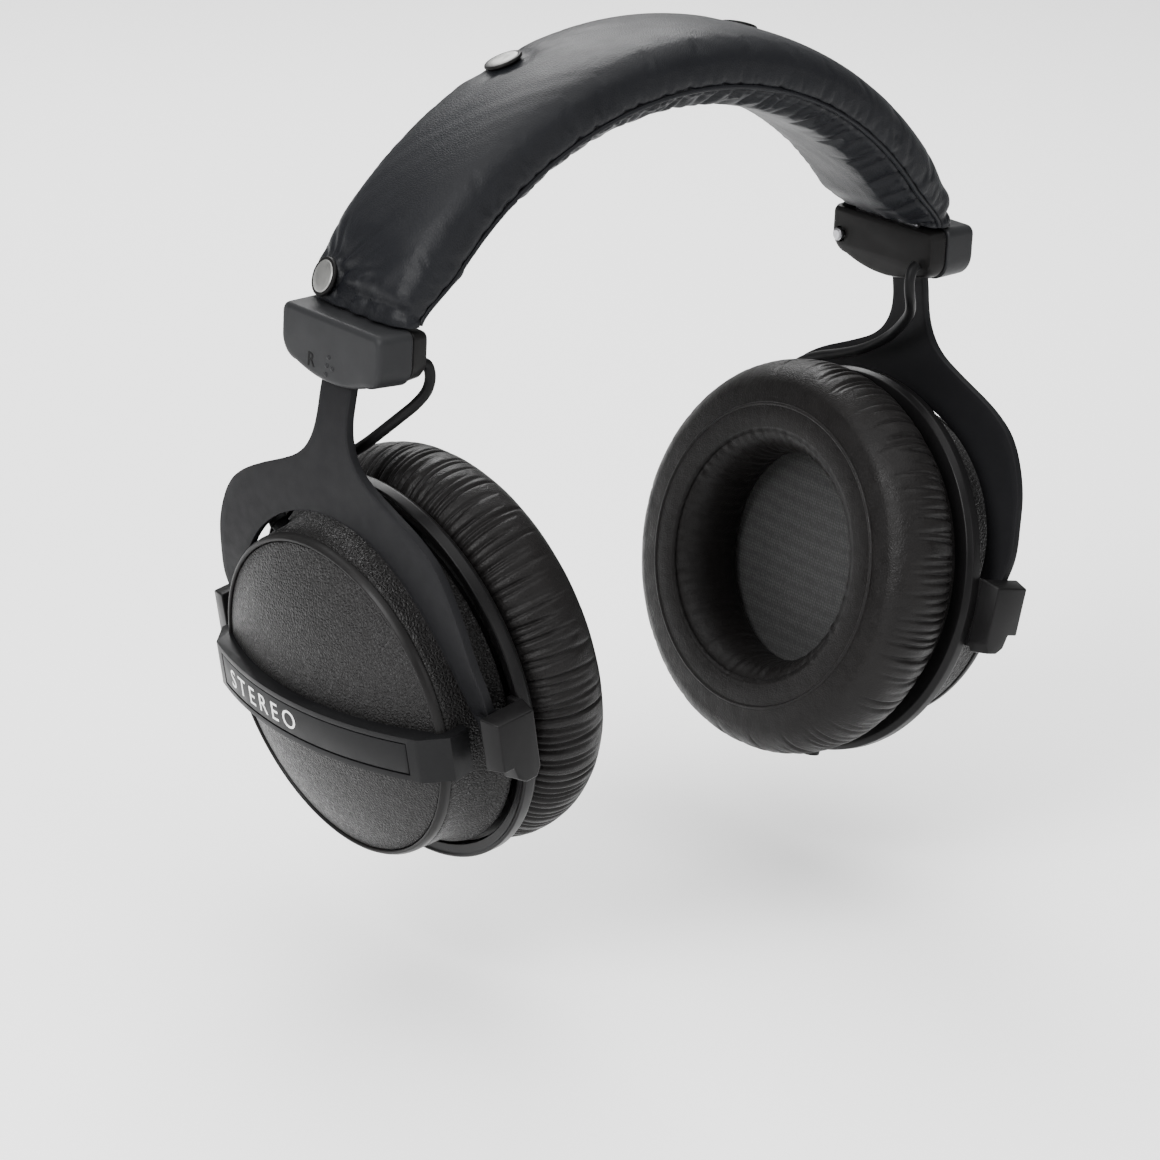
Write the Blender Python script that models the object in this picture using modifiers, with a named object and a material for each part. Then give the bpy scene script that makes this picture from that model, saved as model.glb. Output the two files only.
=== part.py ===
"""Over ear headphones: sprung headband, two sliding yokes, two closed cups.

Metres, +Z up, +X to the wearer's left, -Y to the wearer's front. The origin is where the
crown pad rests on the head: the lowest point of its underside.
"""
import math

import bmesh
import bpy
from mathutils import Matrix, Vector

MM = 0.001
GAP = 0.3 * MM
SIDES = (("r", -1), ("l", 1))

# Headband: arcs about one centre under the crown
PAD_UNDER_R = 85.8 * MM
PAD_OUTER_R = 103.5 * MM
PAD_HALF_WIDTH = 18.6 * MM
PAD_END_HALF = 5.0 * MM
PAD_SKIN = 1.2 * MM
PAD_ROUNDNESS = 2.8
ARC_Z = -PAD_UNDER_R
SPRING_R = 92.5 * MM
SPRING_WIDTH = 22.0 * MM
SPRING_THICK = 0.8 * MM
FOAM_THICK = 2.6 * MM
LEAD_R = 1.3 * MM
UPPER_SNAP_ANGLE = 20.5
SNAP_Y = 10.8 * MM
SNAP_LIFT = 0.55 * MM

# Slider housings at the ends of the headband
HOUSING_TOP_Z = -39.2 * MM
HOUSING_HEIGHT = 15.8 * MM
HOUSING_HALF_WIDTH = 18.4 * MM
HOUSING_OUTER_X = 92.5 * MM
HOUSING_SPLIT_X = 83.0 * MM
HOUSING_INNER_X = 78.0 * MM

# Yokes: the stem is an arc that slides along itself
STEM_CENTRE_X = 6.5 * MM
STEM_CENTRE_Z = -70.8 * MM
STEM_R = 85.0 * MM
STEM_HALF_WIDTH = 5.5 * MM
STEM_TOP_ANGLE = 33.0
YOKE_THICK = 2.0 * MM
YOKE_INNER_R = 41.5 * MM
TIP_RISE = 3.5 * MM

# Cups: turned about an axis through the tilt pivot, tipped down by CUP_TILT
PIVOT_X = 76.0 * MM
PIVOT_Z = -128.0 * MM
CUP_TILT = math.radians(12.0)
RIM_R = 40.0 * MM
RIM_W = 12.3 * MM
DOME_RISE = 8.6 * MM
FLANGE_R = 48.2 * MM
PAD_WIDE_R = 49.0 * MM
PAD_FACE_W = -32.7 * MM
PAD_HOLE_R = 26.0 * MM
BAR_LOW_V = -7.0 * MM
BAR_HIGH_V = 4.0 * MM
BAR_FACE_W = 24.2 * MM
BAR_END_Y = 43.0 * MM
BLOCK_Y = 48.0 * MM
PIN_R = 1.6 * MM

# Facets round a turned piece
CUP_STEPS = 32
DRIVER_STEPS = 24
SMALL_STEPS = 12
PIN_STEPS = 16

MATERIALS = {
    "headband_leather": ((0.018, 0.019, 0.023), 0.42, 0.0),
    "pad_leather": ((0.014, 0.012, 0.012), 0.45, 0.0),
    "foam_grey": ((0.10, 0.10, 0.10), 0.95, 0.0),
    "spring_steel": ((0.45, 0.45, 0.47), 0.30, 1.0),
    "zinc_steel": ((0.60, 0.60, 0.62), 0.28, 1.0),
    "snap_nickel": ((0.62, 0.61, 0.58), 0.34, 1.0),
    "housing_plastic": ((0.050, 0.051, 0.054), 0.50, 0.0),
    "yoke_paint": ((0.026, 0.026, 0.028), 0.52, 0.0),
    "shell_plastic": ((0.030, 0.029, 0.029), 0.48, 0.0),
    "ring_plastic": ((0.018, 0.017, 0.018), 0.38, 0.0),
    "badge_plastic": ((0.020, 0.020, 0.021), 0.36, 0.0),
    "felt_grey": ((0.16, 0.16, 0.16), 0.98, 0.0),
    "diaphragm_film": ((0.55, 0.57, 0.60), 0.20, 0.0),
    "lead_rubber": ((0.012, 0.012, 0.013), 0.55, 0.0),
}


def clear_scene():
    for obj in list(bpy.data.objects):
        bpy.data.objects.remove(obj, do_unlink=True)


def new_collection(name):
    collection = bpy.data.collections.new(name)
    bpy.context.scene.collection.children.link(collection)
    return collection


def make_material(name):
    colour, roughness, metallic = MATERIALS[name]
    material = bpy.data.materials.new(name)
    material.use_nodes = True
    shader = material.node_tree.nodes["Principled BSDF"]
    shader.inputs["Base Color"].default_value = (*colour, 1.0)
    shader.inputs["Roughness"].default_value = roughness
    shader.inputs["Metallic"].default_value = metallic
    material.diffuse_color = (*colour, 1.0)
    return material


def add_object(name, mesh, material=None, parent=None, matrix=None, cutter=False):
    obj = bpy.data.objects.new(name, mesh)
    (CUTTERS if cutter else PARTS).objects.link(obj)
    if cutter:
        obj.hide_render = True
        obj.display_type = "WIRE"
    if material:
        mesh.materials.append(SURFACES[material])
    obj.parent = parent
    if matrix is not None:
        obj.matrix_local = matrix
    return obj


def mesh_from(bm, name):
    bmesh.ops.recalc_face_normals(bm, faces=bm.faces)
    mesh = bpy.data.meshes.new(name)
    bm.to_mesh(mesh)
    bm.free()
    return mesh


def smooth(obj, degrees=35.0):
    obj.data.shade_smooth()
    obj.data.set_sharp_from_angle(angle=math.radians(degrees))
    return obj


def turned(name, profile, material, steps=48, closed=True, **place):
    """Turn (radius, height) points about local Z; the profile runs down its outer side."""
    bm = bmesh.new()
    points = [bm.verts.new((radius, 0.0, height)) for radius, height in profile]
    for start, end in zip(points, points[1:]):
        bm.edges.new((start, end))
    if closed:
        bm.edges.new((points[-1], points[0]))
    mesh = bpy.data.meshes.new(name)
    bm.to_mesh(mesh)
    bm.free()
    obj = add_object(name, mesh, material, **place)
    screw = obj.modifiers.new("turn", "SCREW")
    screw.steps = steps
    screw.render_steps = steps
    screw.use_merge_vertices = True
    screw.merge_threshold = 0.00001
    screw.use_smooth_shade = True
    return obj


def loft(name, sections, material, ring=False, **place):
    """Join equal-length sections into a tube; a ring section pair gives a hollow sleeve."""
    bm = bmesh.new()
    rows = [[bm.verts.new(point) for point in section] for section in sections]
    count = len(rows[0])
    for first, second in zip(rows, rows[1:]):
        for k in range(count):
            bm.faces.new((first[k], first[(k + 1) % count], second[(k + 1) % count], second[k]))
    if ring:
        first, last = rows[-1], rows[0]
        for k in range(count):
            bm.faces.new((first[k], first[(k + 1) % count], last[(k + 1) % count], last[k]))
    else:
        bm.faces.new(rows[0])
        bm.faces.new(rows[-1])
    return add_object(name, mesh_from(bm, name), material, **place)


def box(name, low, high, material=None, bevel=0.0, segments=2, **place):
    bm = bmesh.new()
    bmesh.ops.create_cube(bm, size=1.0)
    size = Vector([abs(b - a) for a, b in zip(low, high)])
    centre = (Vector(high) + Vector(low)) / 2
    bmesh.ops.transform(bm, matrix=Matrix.Translation(centre) @ Matrix.Diagonal((*size, 1.0)),
                        verts=bm.verts)
    obj = add_object(name, mesh_from(bm, name), material, **place)
    if bevel:
        add_bevel(obj, bevel, segments)
    return obj


def prism(name, outline, low, high, material=None, axes="yzx", **place):
    """Extrude an outline given in the first two axes along the third one."""
    order = ["xyz".index(letter) for letter in axes]
    bm = bmesh.new()
    rows = []
    for level in (low, high):
        row = []
        for first, second in outline:
            point = [0.0, 0.0, 0.0]
            point[order[0]], point[order[1]], point[order[2]] = first, second, level
            row.append(bm.verts.new(point))
        rows.append(row)
    bm.faces.new(rows[0])
    bm.faces.new(rows[1])
    count = len(outline)
    for k in range(count):
        bm.faces.new((rows[0][k], rows[0][(k + 1) % count], rows[1][(k + 1) % count], rows[1][k]))
    return add_object(name, mesh_from(bm, name), material, **place)


def add_bevel(obj, width, segments=2):
    bevel = obj.modifiers.new("edges", "BEVEL")
    bevel.width = width
    bevel.segments = segments
    bevel.limit_method = "ANGLE"
    bevel.angle_limit = math.radians(40)
    return obj


def cut(obj, *cutters):
    for cutter in cutters:
        boolean = obj.modifiers.new("cut", "BOOLEAN")
        boolean.operation = "DIFFERENCE"
        boolean.solver = "EXACT"
        boolean.object = cutter
    return obj


def bezier(start, start_pull, end_pull, end, count):
    """Points on one cubic curve, the first left out because it joins a longer path."""
    points = []
    for k in range(1, count + 1):
        t = k / count
        u = 1 - t
        points.append(start * u ** 3 + start_pull * 3 * u * u * t
                      + end_pull * 3 * u * t * t + end * t ** 3)
    return points


def band_half_path(radius, leave_degrees, end, end_pull_height, arc_count, bend_count):
    """Right-hand half (x > 0) of a band path in XZ, from the crown down into the housing."""
    path = []
    for k in range(arc_count + 1):
        angle = math.radians(leave_degrees * k / arc_count)
        path.append(Vector((radius * math.sin(angle), 0, ARC_Z + radius * math.cos(angle))))
    leave = math.radians(leave_degrees)
    reach = (end - path[-1]).length * 0.4
    pull = path[-1] + Vector((math.cos(leave), 0, -math.sin(leave))) * reach
    path += bezier(path[-1], pull, end + Vector((0, 0, end_pull_height)), end, bend_count)
    return path


def whole_path(half):
    return [Vector((-p.x, 0, p.z)) for p in reversed(half[1:])] + half


def path_normals(path):
    """Outward direction in XZ at each point of a path that runs from -X over to +X."""
    normals = []
    for k in range(len(path)):
        along = path[min(k + 1, len(path) - 1)] - path[max(k - 1, 0)]
        normals.append(Vector((-along.z, 0, along.x)).normalized())
    return normals


def tube(name, points, radius, material, resolution=2, **place):
    curve = bpy.data.curves.new(name, "CURVE")
    curve.dimensions = "3D"
    curve.bevel_depth = radius
    curve.bevel_resolution = resolution
    curve.use_fill_caps = True
    spline = curve.splines.new("POLY")
    spline.points.add(len(points) - 1)
    for target, point in zip(spline.points, points):
        target.co = (*point, 1.0)
    return add_object(name, curve, material, **place)


def smooth_route(points, per_span):
    """Catmull-Rom curve through a cord's own points."""
    ends = [points[0] * 2 - points[1]] + points + [points[-1] * 2 - points[-2]]
    route = []
    for k in range(1, len(ends) - 2):
        a, b, c, d = ends[k - 1:k + 3]
        for step in range(per_span):
            t = step / per_span
            route.append(0.5 * (2 * b + (c - a) * t + (2 * a - 5 * b + 4 * c - d) * t * t
                                + (3 * b - a - 3 * c + d) * t ** 3))
    route.append(points[-1])
    return route


# --- headband -------------------------------------------------------------------------------

PAD_MID_R = (PAD_UNDER_R + PAD_OUTER_R) / 2
PAD_HALF_DEPTH = (PAD_OUTER_R - PAD_UNDER_R) / 2
PAD_END = Vector((82.3 * MM, 0, HOUSING_TOP_Z + 0.6 * MM))
SPRING_END = Vector((81.2 * MM, 0, HOUSING_TOP_Z - 8.0 * MM))
SPRING_LEAVE = 54.0
SPRING_PULL = 7.0 * MM


def pad_section(centre, outward, half_depth, half_width, count=16):
    """Rounded cushion section: a superellipse in the outward and Y directions."""
    power = 2 / PAD_ROUNDNESS
    section = []
    for k in range(count):
        angle = 2 * math.pi * (k + 0.5) / count
        depth = math.copysign(abs(math.sin(angle)) ** power, math.sin(angle)) * half_depth
        width = math.copysign(abs(math.cos(angle)) ** power, math.cos(angle)) * half_width
        section.append(centre + outward * depth + Vector((0, width, 0)))
    return section


def strip_sections(path, half_width, thickness):
    """Flat strip centred on a path in XZ."""
    sections = []
    for point, outward in zip(path, path_normals(path)):
        offset = outward * (thickness / 2)
        side = Vector((0, half_width, 0))
        sections.append([point + offset + side, point + offset - side,
                         point - offset - side, point - offset + side])
    return sections


def pad_surface(station, width):
    """Point on the pad's outer face at one station, a width away from its middle."""
    centre, outward, half_depth, half_width = station
    share = abs(width) / half_width
    depth = (1 - share ** PAD_ROUNDNESS) ** (1 / PAD_ROUNDNESS) * half_depth
    return centre + outward * depth + Vector((0, width, 0))


def snap_place(before, station, after, lift):
    """Frame of a snap near the rear edge: its axis is the pad's own surface normal."""
    along = pad_surface(after, SNAP_Y) - pad_surface(before, SNAP_Y)
    across = pad_surface(station, SNAP_Y + MM) - pad_surface(station, SNAP_Y - MM)
    normal = along.cross(across).normalized()
    normal *= math.copysign(1.0, normal.dot(station[1]))
    point = pad_surface(station, SNAP_Y) + normal * lift
    return Matrix.Translation(point) @ normal.to_track_quat("Z", "Y").to_matrix().to_4x4()


def build_headband():
    half = band_half_path(PAD_MID_R, 50.0, PAD_END, 3.5 * MM, 8, 4)
    path = whole_path(half)
    arc_start = half[8].z
    outer, inner, stations = [], [], []
    for point, outward in zip(path, path_normals(path)):
        share = min(max((arc_start - point.z) / (arc_start - PAD_END.z), 0.0), 1.0)
        depth = PAD_HALF_DEPTH + (PAD_END_HALF - PAD_HALF_DEPTH) * share
        width = PAD_HALF_WIDTH - 0.8 * MM * share
        outer.append(pad_section(point, outward, depth, width))
        inner.append(pad_section(point, outward, depth - PAD_SKIN, width - PAD_SKIN))
        stations.append((point, outward, depth, width))
    cover = loft("headband_cover", outer + inner[::-1], "headband_leather", ring=True)
    smooth(cover, 50)
    for name, side in SIDES:
        angle = math.radians(UPPER_SNAP_ANGLE)
        outward = Vector((side * math.sin(angle), 0, math.cos(angle)))
        step = Vector((outward.z, 0, -outward.x)) * MM
        upper = [(Vector((0, 0, ARC_Z)) + outward * PAD_MID_R + step * k, outward,
                  PAD_HALF_DEPTH, PAD_HALF_WIDTH) for k in (-1, 0, 1)]
        lower = stations[-3:] if side > 0 else stations[:3]
        for place, run in (("upper", upper), ("lower", lower)):
            turned("snap_%s_%s" % (place, name),
                   [(0, 1.5 * MM), (2.6 * MM, 1.35 * MM), (4.2 * MM, 0.8 * MM), (4.6 * MM, 0.2 * MM),
                    (4.4 * MM, 0.0), (0, 0.0)],
                   "snap_nickel", steps=SMALL_STEPS, closed=False,
                   matrix=snap_place(*run, SNAP_LIFT))

    spring_half = band_half_path(SPRING_R, SPRING_LEAVE, SPRING_END, SPRING_PULL, 10, 6)
    loft("spring_band", strip_sections(whole_path(spring_half), SPRING_WIDTH / 2, SPRING_THICK),
         "spring_steel")
    foam_r = SPRING_R - SPRING_THICK / 2 - GAP - FOAM_THICK / 2
    foam_half = [Vector((foam_r * math.sin(a), 0, ARC_Z + foam_r * math.cos(a)))
                 for a in (math.radians(50.0 * k / 10) for k in range(11))]
    loft("headband_foam", strip_sections(whole_path(foam_half), 11 * MM, FOAM_THICK),
         "foam_grey")
    lead_r = SPRING_R + 5.0 * MM
    lead_half = [Vector((lead_r * math.sin(a), 9 * MM, ARC_Z + lead_r * math.cos(a)))
                 for a in (math.radians(47.0 * k / 12) for k in range(13))]
    lead_path = [Vector((-p.x, p.y, p.z)) for p in reversed(lead_half[1:])] + lead_half
    tube("headband_lead", lead_path, 1.1 * MM, "lead_rubber", resolution=1)


# --- slider housings ------------------------------------------------------------------------

def housing_outline(half_width, top, bottom):
    """Shield outline: square shoulders, a bottom edge that bows down, round corners."""
    outline = [(-half_width, top), (half_width, top)]
    corner = 5.5 * MM
    sag = 2.2 * MM
    for k in range(5):
        angle = math.radians(90.0 * k / 4)
        outline.append((half_width - corner * (1 - math.cos(angle)),
                        bottom + sag + corner * (1 - math.sin(angle))))
    for k in range(1, 6):
        share = 1 - k / 3
        outline.append((share * (half_width - corner), bottom + sag * share * share))
    mirrored = [(-y, z) for y, z in outline[2:7]]
    return outline + mirrored[::-1]


def stem_point(angle, radius):
    return (STEM_CENTRE_X + radius * math.cos(angle), STEM_CENTRE_Z + radius * math.sin(angle))


def stem_channel(name, side, low_degrees, high_degrees, clearance):
    """Arc-shaped strip in XZ, used to cut the guide that the stem slides in."""
    outline = []
    for radius, order in ((STEM_R + clearance, 1), (STEM_R - YOKE_THICK - clearance, -1)):
        angles = [math.radians(low_degrees + (high_degrees - low_degrees) * k / 8)
                  for k in range(9)][::order]
        outline += [stem_point(a, radius) for a in angles]
    outline = [(side * x, z) for x, z in outline]
    width = STEM_HALF_WIDTH + clearance
    return prism(name, outline, -width, width, axes="xzy", cutter=True)


def build_slider(name, side):
    bottom = HOUSING_TOP_Z - HOUSING_HEIGHT
    outline = housing_outline(HOUSING_HALF_WIDTH, HOUSING_TOP_Z, bottom)
    cover = prism("slider_cover_" + name, outline, side * (HOUSING_SPLIT_X + GAP / 2),
                  side * HOUSING_OUTER_X, "housing_plastic")
    inset = housing_outline(HOUSING_HALF_WIDTH - 0.7 * MM, HOUSING_TOP_Z - 0.7 * MM,
                            bottom + 0.7 * MM)
    base = prism("slider_base_" + name, inset, side * HOUSING_INNER_X,
                 side * (HOUSING_SPLIT_X - GAP / 2), "housing_plastic")
    channel = stem_channel("stem_channel_" + name, side, -10, 24, GAP)
    run = band_half_path(SPRING_R, SPRING_LEAVE, SPRING_END, SPRING_PULL, 10, 6)[9:]
    run = [Vector((side * p.x, 0, p.z)) for p in run + [SPRING_END - Vector((0, 0, MM))]]
    spring_slot = loft("spring_slot_" + name,
                       strip_sections(run, SPRING_WIDTH / 2 + GAP, SPRING_THICK + 2 * GAP),
                       None, cutter=True)
    detent_room = box("detent_room_" + name,
                      (side * 82.6 * MM, 6.2 * MM, bottom + 5.0 * MM),
                      (side * 89.4 * MM, 8.8 * MM, HOUSING_TOP_Z - 3.0 * MM),
                      cutter=True)
    add_bevel(cover, 1.3 * MM, 2)
    cut(cover, channel, detent_room)
    add_bevel(base, 0.8 * MM, 1)
    cut(base, channel, spring_slot)
    box("detent_spring_" + name,
        (side * 86.3 * MM - 2.4 * MM, 7.0 * MM, bottom + 5.5 * MM),
        (side * 86.3 * MM + 2.4 * MM, 7.6 * MM, HOUSING_TOP_Z - 3.5 * MM), "spring_steel")
    spot = Matrix.Translation((side * (HOUSING_INNER_X - GAP), 14.3 * MM,
                               HOUSING_TOP_Z - 8.0 * MM)) @ Matrix.Rotation(
        math.radians(side * 90), 4, "Y")
    hole = turned("screw_hole_" + name,
                  [(0, 11 * MM), (1.1 * MM, 11 * MM), (1.1 * MM, -5 * MM), (0, -5 * MM)],
                  None, steps=SMALL_STEPS, closed=False, cutter=True, matrix=spot)
    cut(base, hole)
    cut(cover, hole)
    turned("slider_screw_" + name,
           [(0, 9.5 * MM), (0.8 * MM, 9.5 * MM), (0.8 * MM, 0), (1.6 * MM, 0),
            (1.6 * MM, -0.8 * MM), (1.1 * MM, -1.1 * MM), (0, -1.1 * MM)],
           "zinc_steel", steps=SMALL_STEPS, closed=False, matrix=spot)


# --- yokes ----------------------------------------------------------------------------------

def bow_x(height):
    """Outer face of the yoke: an arc above the shoulders, a flatter curve down the arms."""
    drop = STEM_CENTRE_Z - height
    if drop < 0:
        return STEM_CENTRE_X + math.sqrt(STEM_R ** 2 - drop ** 2)
    reach = drop / MM
    return STEM_CENTRE_X + STEM_R - (0.003 * reach ** 2 + 3.2e-7 * reach ** 4) * MM


def yoke_half_width(height):
    """Half the yoke's width at a height above the pivot line."""
    points = ((0, 47.2), (6, 48.0), (12, 48.3), (20, 46.6), (28, 44.6), (34, 42.0), (38, 39.6),
              (41.5, 36.4), (44, 32.8), (46.5, 28.0), (49, 22.0), (51, 17.4), (53, 13.2),
              (55.5, 9.8), (58, 7.8), (61, 6.4), (65, 5.6), (70, 5.5), (120, 5.5))
    level = height / MM
    for (low, width), (high, next_width) in zip(points, points[1:]):
        if level <= high:
            share = (level - low) / (high - low)
            return (width + (next_width - width) * share) * MM
    return STEM_HALF_WIDTH


def yoke_row(side, height, low_y, high_y, columns):
    x = bow_x(height)
    slope = (bow_x(height + 0.5 * MM) - bow_x(height - 0.5 * MM)) / MM
    normal = Vector((1, 0, -slope)).normalized()
    outer, inner = [], []
    for k in range(columns + 1):
        y = low_y + (high_y - low_y) * k / columns
        point = Vector((x, y, height))
        back = point - normal * YOKE_THICK
        outer.append(Vector((side * point.x, y, point.z)))
        inner.append(Vector((side * back.x, y, back.z)))
    return outer, inner


def build_yoke(name, side):
    """A bent sheet: a stem above, two arms round a circular opening below."""
    bm = bmesh.new()
    tip = PIVOT_Z + TIP_RISE
    crown = PIVOT_Z + YOKE_INNER_R
    top = stem_point(math.radians(STEM_TOP_ANGLE), STEM_R)[1]
    arm_levels = [tip + (crown - tip) * math.sin(math.radians(90 * k / 11)) for k in range(12)]
    stem_levels = [crown + (top - crown) * k / 16 for k in range(1, 17)]

    def grid_row(height, split):
        wide = yoke_half_width(height - PIVOT_Z)
        hole = math.sqrt(max(YOKE_INNER_R ** 2 - (height - PIVOT_Z) ** 2, 0)) if split else 0.0
        row = []
        for low, high in ((-wide, -hole), (hole, wide)):
            outer, inner = yoke_row(side, height, low, high, 2)
            row.append(([bm.verts.new(p) for p in outer], [bm.verts.new(p) for p in inner]))
        return row

    rows = [grid_row(z, True) for z in arm_levels]
    last = rows[-1]
    joined = [(last[0][0] + last[1][0][1:], last[0][1] + last[1][1][1:])]
    for z in stem_levels:
        outer, inner = yoke_row(side, z, -yoke_half_width(z - PIVOT_Z),
                                yoke_half_width(z - PIVOT_Z), 4)
        joined.append(([bm.verts.new(p) for p in outer], [bm.verts.new(p) for p in inner]))

    def quads(first, second):
        for k in range(len(first) - 1):
            bm.faces.new((first[k], first[k + 1], second[k + 1], second[k]))

    def skin(lower, upper):
        quads(lower[0], upper[0])
        quads(lower[1], upper[1])
        for edge in (0, -1):
            bm.faces.new((lower[0][edge], lower[1][edge], upper[1][edge], upper[0][edge]))

    for half in (0, 1):
        arm = [row[half] for row in rows]
        for lower, upper in zip(arm, arm[1:]):
            skin(lower, upper)
        for k in range(2):
            bm.faces.new((arm[0][0][k], arm[0][0][k + 1], arm[0][1][k + 1], arm[0][1][k]))
    for lower, upper in zip(joined, joined[1:]):
        skin(lower, upper)
    top_outer, top_inner = joined[-1]
    for k in range(4):
        bm.faces.new((top_outer[k], top_outer[k + 1], top_inner[k + 1], top_inner[k]))
    bmesh.ops.remove_doubles(bm, verts=bm.verts, dist=0.000005)
    return smooth(add_object("yoke_" + name, mesh_from(bm, "yoke_" + name), "yoke_paint"))


# --- cups: local +Z points out of the cup, local +X up its face ------------------------------

SHELL_SIDE = ((40.0, 12.3), (40.6, 2.0), (41.2, -0.5), (42.4, -2.8), (44.4, -5.0))
BORE_CLEARANCE = 0.09 * MM


def cup_frame(name, side):
    out = Vector((side * math.cos(CUP_TILT), 0, -math.sin(CUP_TILT)))
    up = Vector((side * math.sin(CUP_TILT), 0, math.cos(CUP_TILT)))
    matrix = Matrix((up, out.cross(up), out)).transposed().to_4x4()
    matrix.translation = (side * PIVOT_X, 0, PIVOT_Z)
    empty = bpy.data.objects.new("cup_frame_" + name, None)
    PARTS.objects.link(empty)
    empty.matrix_world = matrix
    return empty


def dome_profile(rim_r, rim_w, rise, steps=5):
    """Spherical cap from its centre out to the rim."""
    radius = (rim_r ** 2 + rise ** 2) / (2 * rise)
    centre = rim_w + rise - radius
    edge = math.asin(rim_r / radius)
    return [(radius * math.sin(edge * k / steps), centre + radius * math.cos(edge * k / steps))
            for k in range(steps + 1)]


def build_shell(name, cup):
    outer = [(r * MM, w * MM) for r, w in SHELL_SIDE]
    rim = [(RIM_R - 2.4 * MM, RIM_W - 0.6 * MM), (RIM_R - 1.9 * MM, RIM_W + 0.35 * MM),
           (RIM_R - 0.8 * MM, RIM_W + 0.55 * MM)]
    inner = [(r * MM - 2.2 * MM, w * MM) for r, w in SHELL_SIDE[:1:-2]]
    ledge = [(RIM_R - 2.6 * MM, RIM_W - 3.2 * MM), (RIM_R - 5.0 * MM, RIM_W - 3.2 * MM),
             (RIM_R - 5.0 * MM, RIM_W - 2.0 * MM), (RIM_R - 2.4 * MM, RIM_W - 2.0 * MM)]
    shell = turned("cup_shell_" + name, rim + outer + inner + ledge, "shell_plastic",
                   steps=CUP_STEPS, parent=cup)
    cap = dome_profile(RIM_R - 2.7 * MM, RIM_W - 0.3 * MM, DOME_RISE)
    under = dome_profile(RIM_R - 4.6 * MM, RIM_W - 1.7 * MM, DOME_RISE - 1.4 * MM)
    profile = cap + [(RIM_R - 2.7 * MM, RIM_W - 1.7 * MM)] + under[::-1]
    turned("cup_cap_" + name, profile, "shell_plastic", steps=CUP_STEPS, closed=False, parent=cup)
    return shell


def build_badge(name, cup):
    """Raised strap over the dome with faceted ends, and a thin plate let into its face."""
    face_rise = 6.8 * MM
    half_face = 38.0 * MM
    end_w = BAR_FACE_W - face_rise
    arc_r = (half_face ** 2 + face_rise ** 2) / (2 * face_rise)

    def face(y, lift=0.0):
        return (y, BAR_FACE_W - arc_r + math.sqrt(arc_r ** 2 - y ** 2) + lift)

    top = [face(half_face * k / 8) for k in range(-8, 9)]
    ends = [(BAR_END_Y, end_w - 5.5 * MM), (BAR_END_Y - 0.6 * MM, 5.0 * MM)]
    outline = top + ends + [(-y, w) for y, w in reversed(ends)]
    bar = prism("badge_bar_" + name, outline, BAR_LOW_V, BAR_HIGH_V, "badge_plastic",
                axes="yzx", parent=cup)
    margin = GAP
    body = ([(0, RIM_W + DOME_RISE + margin)]
            + [(r, w + margin) for r, w in dome_profile(RIM_R, RIM_W, DOME_RISE)[1:-1]]
            + [(RIM_R + 0.05 * MM, RIM_W + 0.9 * MM)]
            + [(r * MM + margin, w * MM) for r, w in SHELL_SIDE] + [(0, -5.0 * MM)])
    under = turned("badge_under_" + name, body, None, steps=CUP_STEPS, closed=False, parent=cup,
                   cutter=True)
    plate_half = 34.5 * MM

    def strip(low, high, half):
        upper = [face(half * k / 8, high) for k in range(-8, 9)]
        lower = [face(half * k / 8, low) for k in range(-8, 9)]
        return upper + lower[::-1]

    recess = prism("badge_recess_" + name, strip(-0.9 * MM, 2 * MM, plate_half + GAP),
                   BAR_LOW_V + 1.3 * MM, BAR_HIGH_V - 1.3 * MM, axes="yzx", parent=cup,
                   cutter=True)
    cut(bar, under, recess)
    add_bevel(bar, 0.35 * MM, 1)
    prism("badge_plate_" + name, strip(-0.6 * MM, -0.05 * MM, plate_half),
          BAR_LOW_V + 1.3 * MM + GAP, BAR_HIGH_V - 1.3 * MM - GAP, "badge_plastic",
          axes="yzx", parent=cup)


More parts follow.
